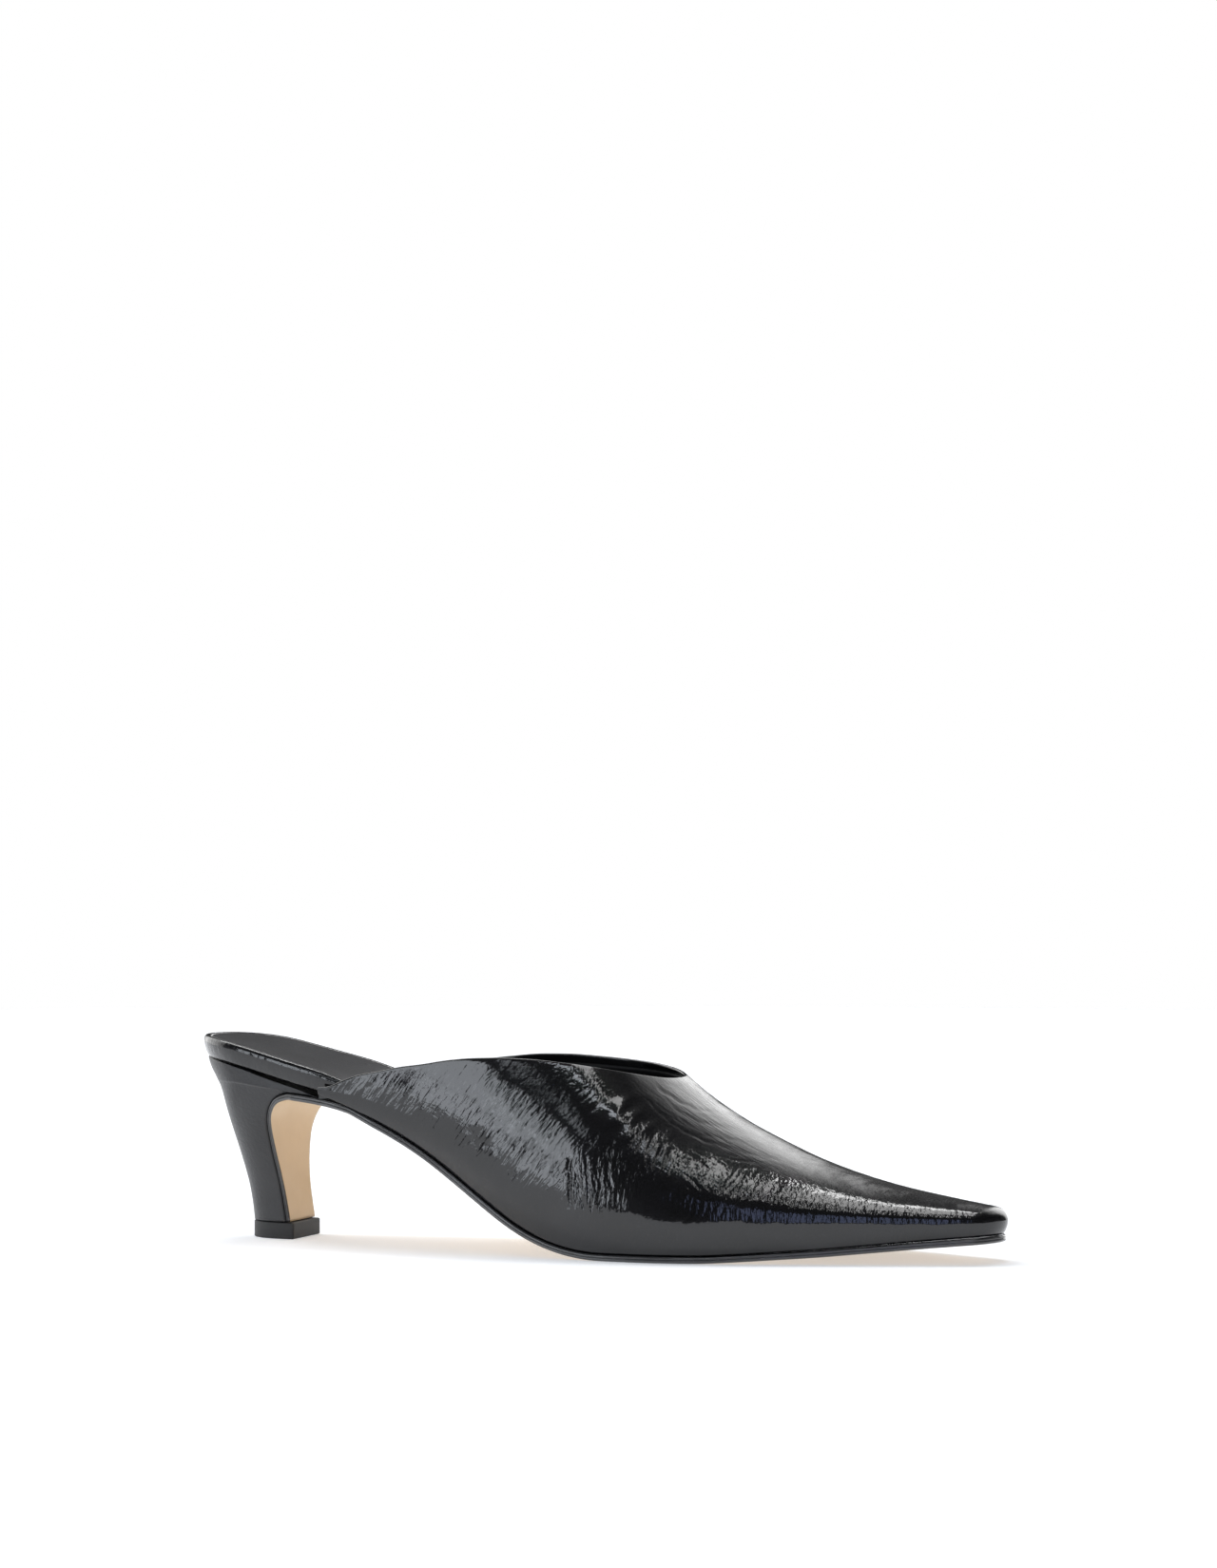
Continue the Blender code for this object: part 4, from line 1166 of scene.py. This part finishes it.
# Studio. The azimuths turn from +X toward +Y, and the camera looks along LOOK
LOOK = (-0.354, 0.935, 0.0)
AIM = (0.0, 0.0, 0.035)
CAMERA_PLACE = (0.525, -1.376, 0.145)
CAMERA_TURN = 20.73
CAMERA_LENS = 108.07
SENSOR_HEIGHT = 36
FLOOR_RADIUS = 1.6
FLOOR_POINTS = 96
FLOOR_GLOW = 0.36


def build_floor():
    """A plain pale floor."""
    made, tree, shader = new_material(
        "studio_paper",
        Roughness=0.9,
        Specular_IOR_Level=0.1,
        Emission_Color=(0.93, 0.96, 1, 1),
        Emission_Strength=FLOOR_GLOW,
    )
    paper = noise(tree, 3, detail=1.0)
    tint = coloured(tree, ranged(tree, paper, 0, 1), (0.78, 0.79, 0.81), (0.80, 0.81, 0.83))
    tree.links.new(tint, shader.inputs["Base Color"])
    mesh = bpy.data.meshes.new("studio_floor")
    turns = np.linspace(0, 2 * pi, FLOOR_POINTS + 1)[:-1]
    rim = [(FLOOR_RADIUS * np.cos(turn), FLOOR_RADIUS * np.sin(turn), 0.0) for turn in turns]
    wedges = [(0, i + 1, (i + 1) % FLOOR_POINTS + 1) for i in range(FLOOR_POINTS)]
    mesh.from_pydata([(0, 0, 0)] + rim, [], wedges)
    mesh.materials.append(made)
    floor = bpy.data.objects.new("studio_floor", mesh)
    bpy.context.scene.collection.objects.link(floor)


# The bright backdrop that the shoe reflects: soft steps along the camera's look, upward and to its right,
# as shares of a unit direction, and how bright it is beside the rest of the room
BACKDROP_FACING = (-0.05, 0.30)
BACKDROP_HEIGHT = (0.58, 0.92)
BACKDROP_RIGHT = (0.13, 0.24)
BACKDROP_LEFT = (-0.50, -0.25)
BACKDROP_END = (0.55, 0.75)
BACKDROP_LIGHT = 2.0
ROOM_LIGHT = 0.05


def dotted(tree, vector, axis):
    """The share of a vector along a fixed axis."""
    return node(tree, "VectorMath", {0: vector, 1: axis}, operation="DOT_PRODUCT").outputs["Value"]


def build_world():
    """White behind the shoe, dark behind the camera; seen directly, it is the white backdrop."""
    world = bpy.data.worlds.new("studio")
    world.use_nodes = True
    tree = world.node_tree
    direction = node(tree, "TexCoord").outputs["Generated"]
    facing = dotted(tree, direction, LOOK)
    rightward = dotted(tree, direction, (LOOK[1], -LOOK[0], 0.0))
    upward = node(tree, "SeparateXYZ", {"Vector": direction}).outputs["Z"]
    behind = ranged(tree, facing, 0.0, 1.0, *BACKDROP_FACING)
    low = ranged(tree, upward, 1.0, 0.0, *BACKDROP_HEIGHT)
    right = ranged(tree, rightward, 0.0, 1.0, *BACKDROP_RIGHT)
    left = ranged(tree, rightward, 1.0, 0.0, *BACKDROP_LEFT)
    end = ranged(tree, rightward, 1.0, 0.0, *BACKDROP_END)
    wings = worked(tree, "MULTIPLY", worked(tree, "MAXIMUM", right, left), end)
    shape = worked(tree, "MULTIPLY", worked(tree, "MULTIPLY", behind, low), wings)
    glow = ranged(tree, shape, ROOM_LIGHT, BACKDROP_LIGHT, 0.0, 1.0)
    white = (1, 1, 1, 1)
    lit = node(tree, "Background", {"Color": white, "Strength": glow}).outputs["Background"]
    seen = node(tree, "Background", {"Color": white, "Strength": 1.0}).outputs["Background"]
    direct = node(tree, "LightPath").outputs["Is Camera Ray"]
    either = node(tree, "MixShader", {"Fac": direct, 1: lit, 2: seen}).outputs["Shader"]
    tree.links.new(either, tree.nodes["World Output"].inputs["Surface"])
    bpy.context.scene.world = world


# Softboxes: azimuth and elevation of the middle, width and height as angles seen from the shoe, all in
# degrees, the distance in metres, and the brightness of the face
WHITE, COOL, BLUE = (1.0, 1.0, 1.0), (0.88, 0.93, 1.0), (0.50, 0.60, 1.0)
SOFTBOXES = table(
    "name azimuth elevation width height distance light colour",
    ("front_left", -124.0, 16.0, 14.6, 21.0, 2.0, 3.8, COOL),
    ("front_left_foot", -128.2, 2.2, 10.0, 7.0, 2.0, 4.2, COOL),
    ("front_left_low", -116.5, 6.3, 8.0, 8.4, 2.0, 2.6, COOL),
    ("topline_left", -108.5, 36.0, 7.0, 13.0, 2.2, 2.0, COOL),
    ("topline_top", -87.0, 60.0, 12.0, 6.0, 2.2, 6.0, COOL),
    ("front_strip", -67.2, 15.0, 7.5, 28.0, 2.2, 1.5, BLUE),
    ("back_fill", 150.0, 60.0, 34.0, 34.0, 2.4, 4.0, WHITE),
    ("rim_light", 112.0, 72.0, 26.0, 10.0, 2.2, 8.0, WHITE),
)

# The strips over the shoe run toward the camera and face the floor. right and toward place their middles
# from the camera's side, and up is their height, in metres
STRIPS = table(
    "name right toward up width length light",
    ("strip_wide", 0.22, 0.02, 2.0, 0.34, 1.26, 4.7),
    ("strip_narrow", 0.165, 1.24, 2.0, 0.11, 1.18, 5.0),
)


def direction_of(azimuth, elevation):
    a, e = radians(azimuth), radians(elevation)
    return Vector((cos(a) * cos(e), sin(a) * cos(e), sin(e)))


def area_light(name, width, height, brightness, colour, place, turn):
    light = bpy.data.lights.new(name, "AREA")
    light.shape = "RECTANGLE"
    light.size, light.size_y = width, height
    light.energy = brightness * pi * width * height
    light.color = colour
    made = bpy.data.objects.new(name, light)
    made.location = place
    made.rotation_euler = turn
    made.visible_camera = False
    bpy.context.scene.collection.objects.link(made)


def softbox(box):
    outward = direction_of(box.azimuth, box.elevation)
    width, height = (2 * box.distance * tan(radians(angle / 2)) for angle in (box.width, box.height))
    place = Vector(AIM) + box.distance * outward
    turn = (-outward).to_track_quat("-Z", "Y").to_euler()
    area_light(box.name, width, height, box.light, box.colour, place, turn)


def overhead(strip):
    x = strip.right * LOOK[1] - strip.toward * LOOK[0]
    y = -strip.right * LOOK[0] - strip.toward * LOOK[1]
    turn = (0, 0, radians(CAMERA_TURN))
    area_light(strip.name, strip.width, strip.length, strip.light, WHITE, (x, y, strip.up), turn)


def studio():
    build_floor()
    build_world()
    for box in SOFTBOXES:
        softbox(box)
    for strip in STRIPS:
        overhead(strip)
    bpy.context.scene.view_settings.view_transform = "Standard"


def photo_camera():
    """Level, at the height of the photograph's, and turned toward the toe's outer side."""
    camera = bpy.data.cameras.new("photo_camera")
    camera.sensor_fit = "VERTICAL"
    camera.sensor_height = SENSOR_HEIGHT
    camera.lens = CAMERA_LENS
    camera.dof.use_dof = False
    camera.clip_start, camera.clip_end = 0.05, 50
    made = bpy.data.objects.new("photo_camera", camera)
    made.location = CAMERA_PLACE
    made.rotation_euler = (radians(90), 0, radians(CAMERA_TURN))
    bpy.context.scene.collection.objects.link(made)
    bpy.context.scene.camera = made


patent = patent_leather("patent_leather", crinkled=True)
wrap_patent = patent_leather("insole_patent", crinkled=False)
leathers = {row.name: plain_leather(row) for row in LEATHERS}

build_upper(patent, leathers["lining_leather"])
build_outsole(leathers["sole_leather"], leathers["edge_paint"])
build_heel(leathers["heel_cover"])
build_top_lift(leathers["lift_rubber"])
build_insole(wrap_patent)
build_sock(leathers["sock_leather"])
studio()
photo_camera()
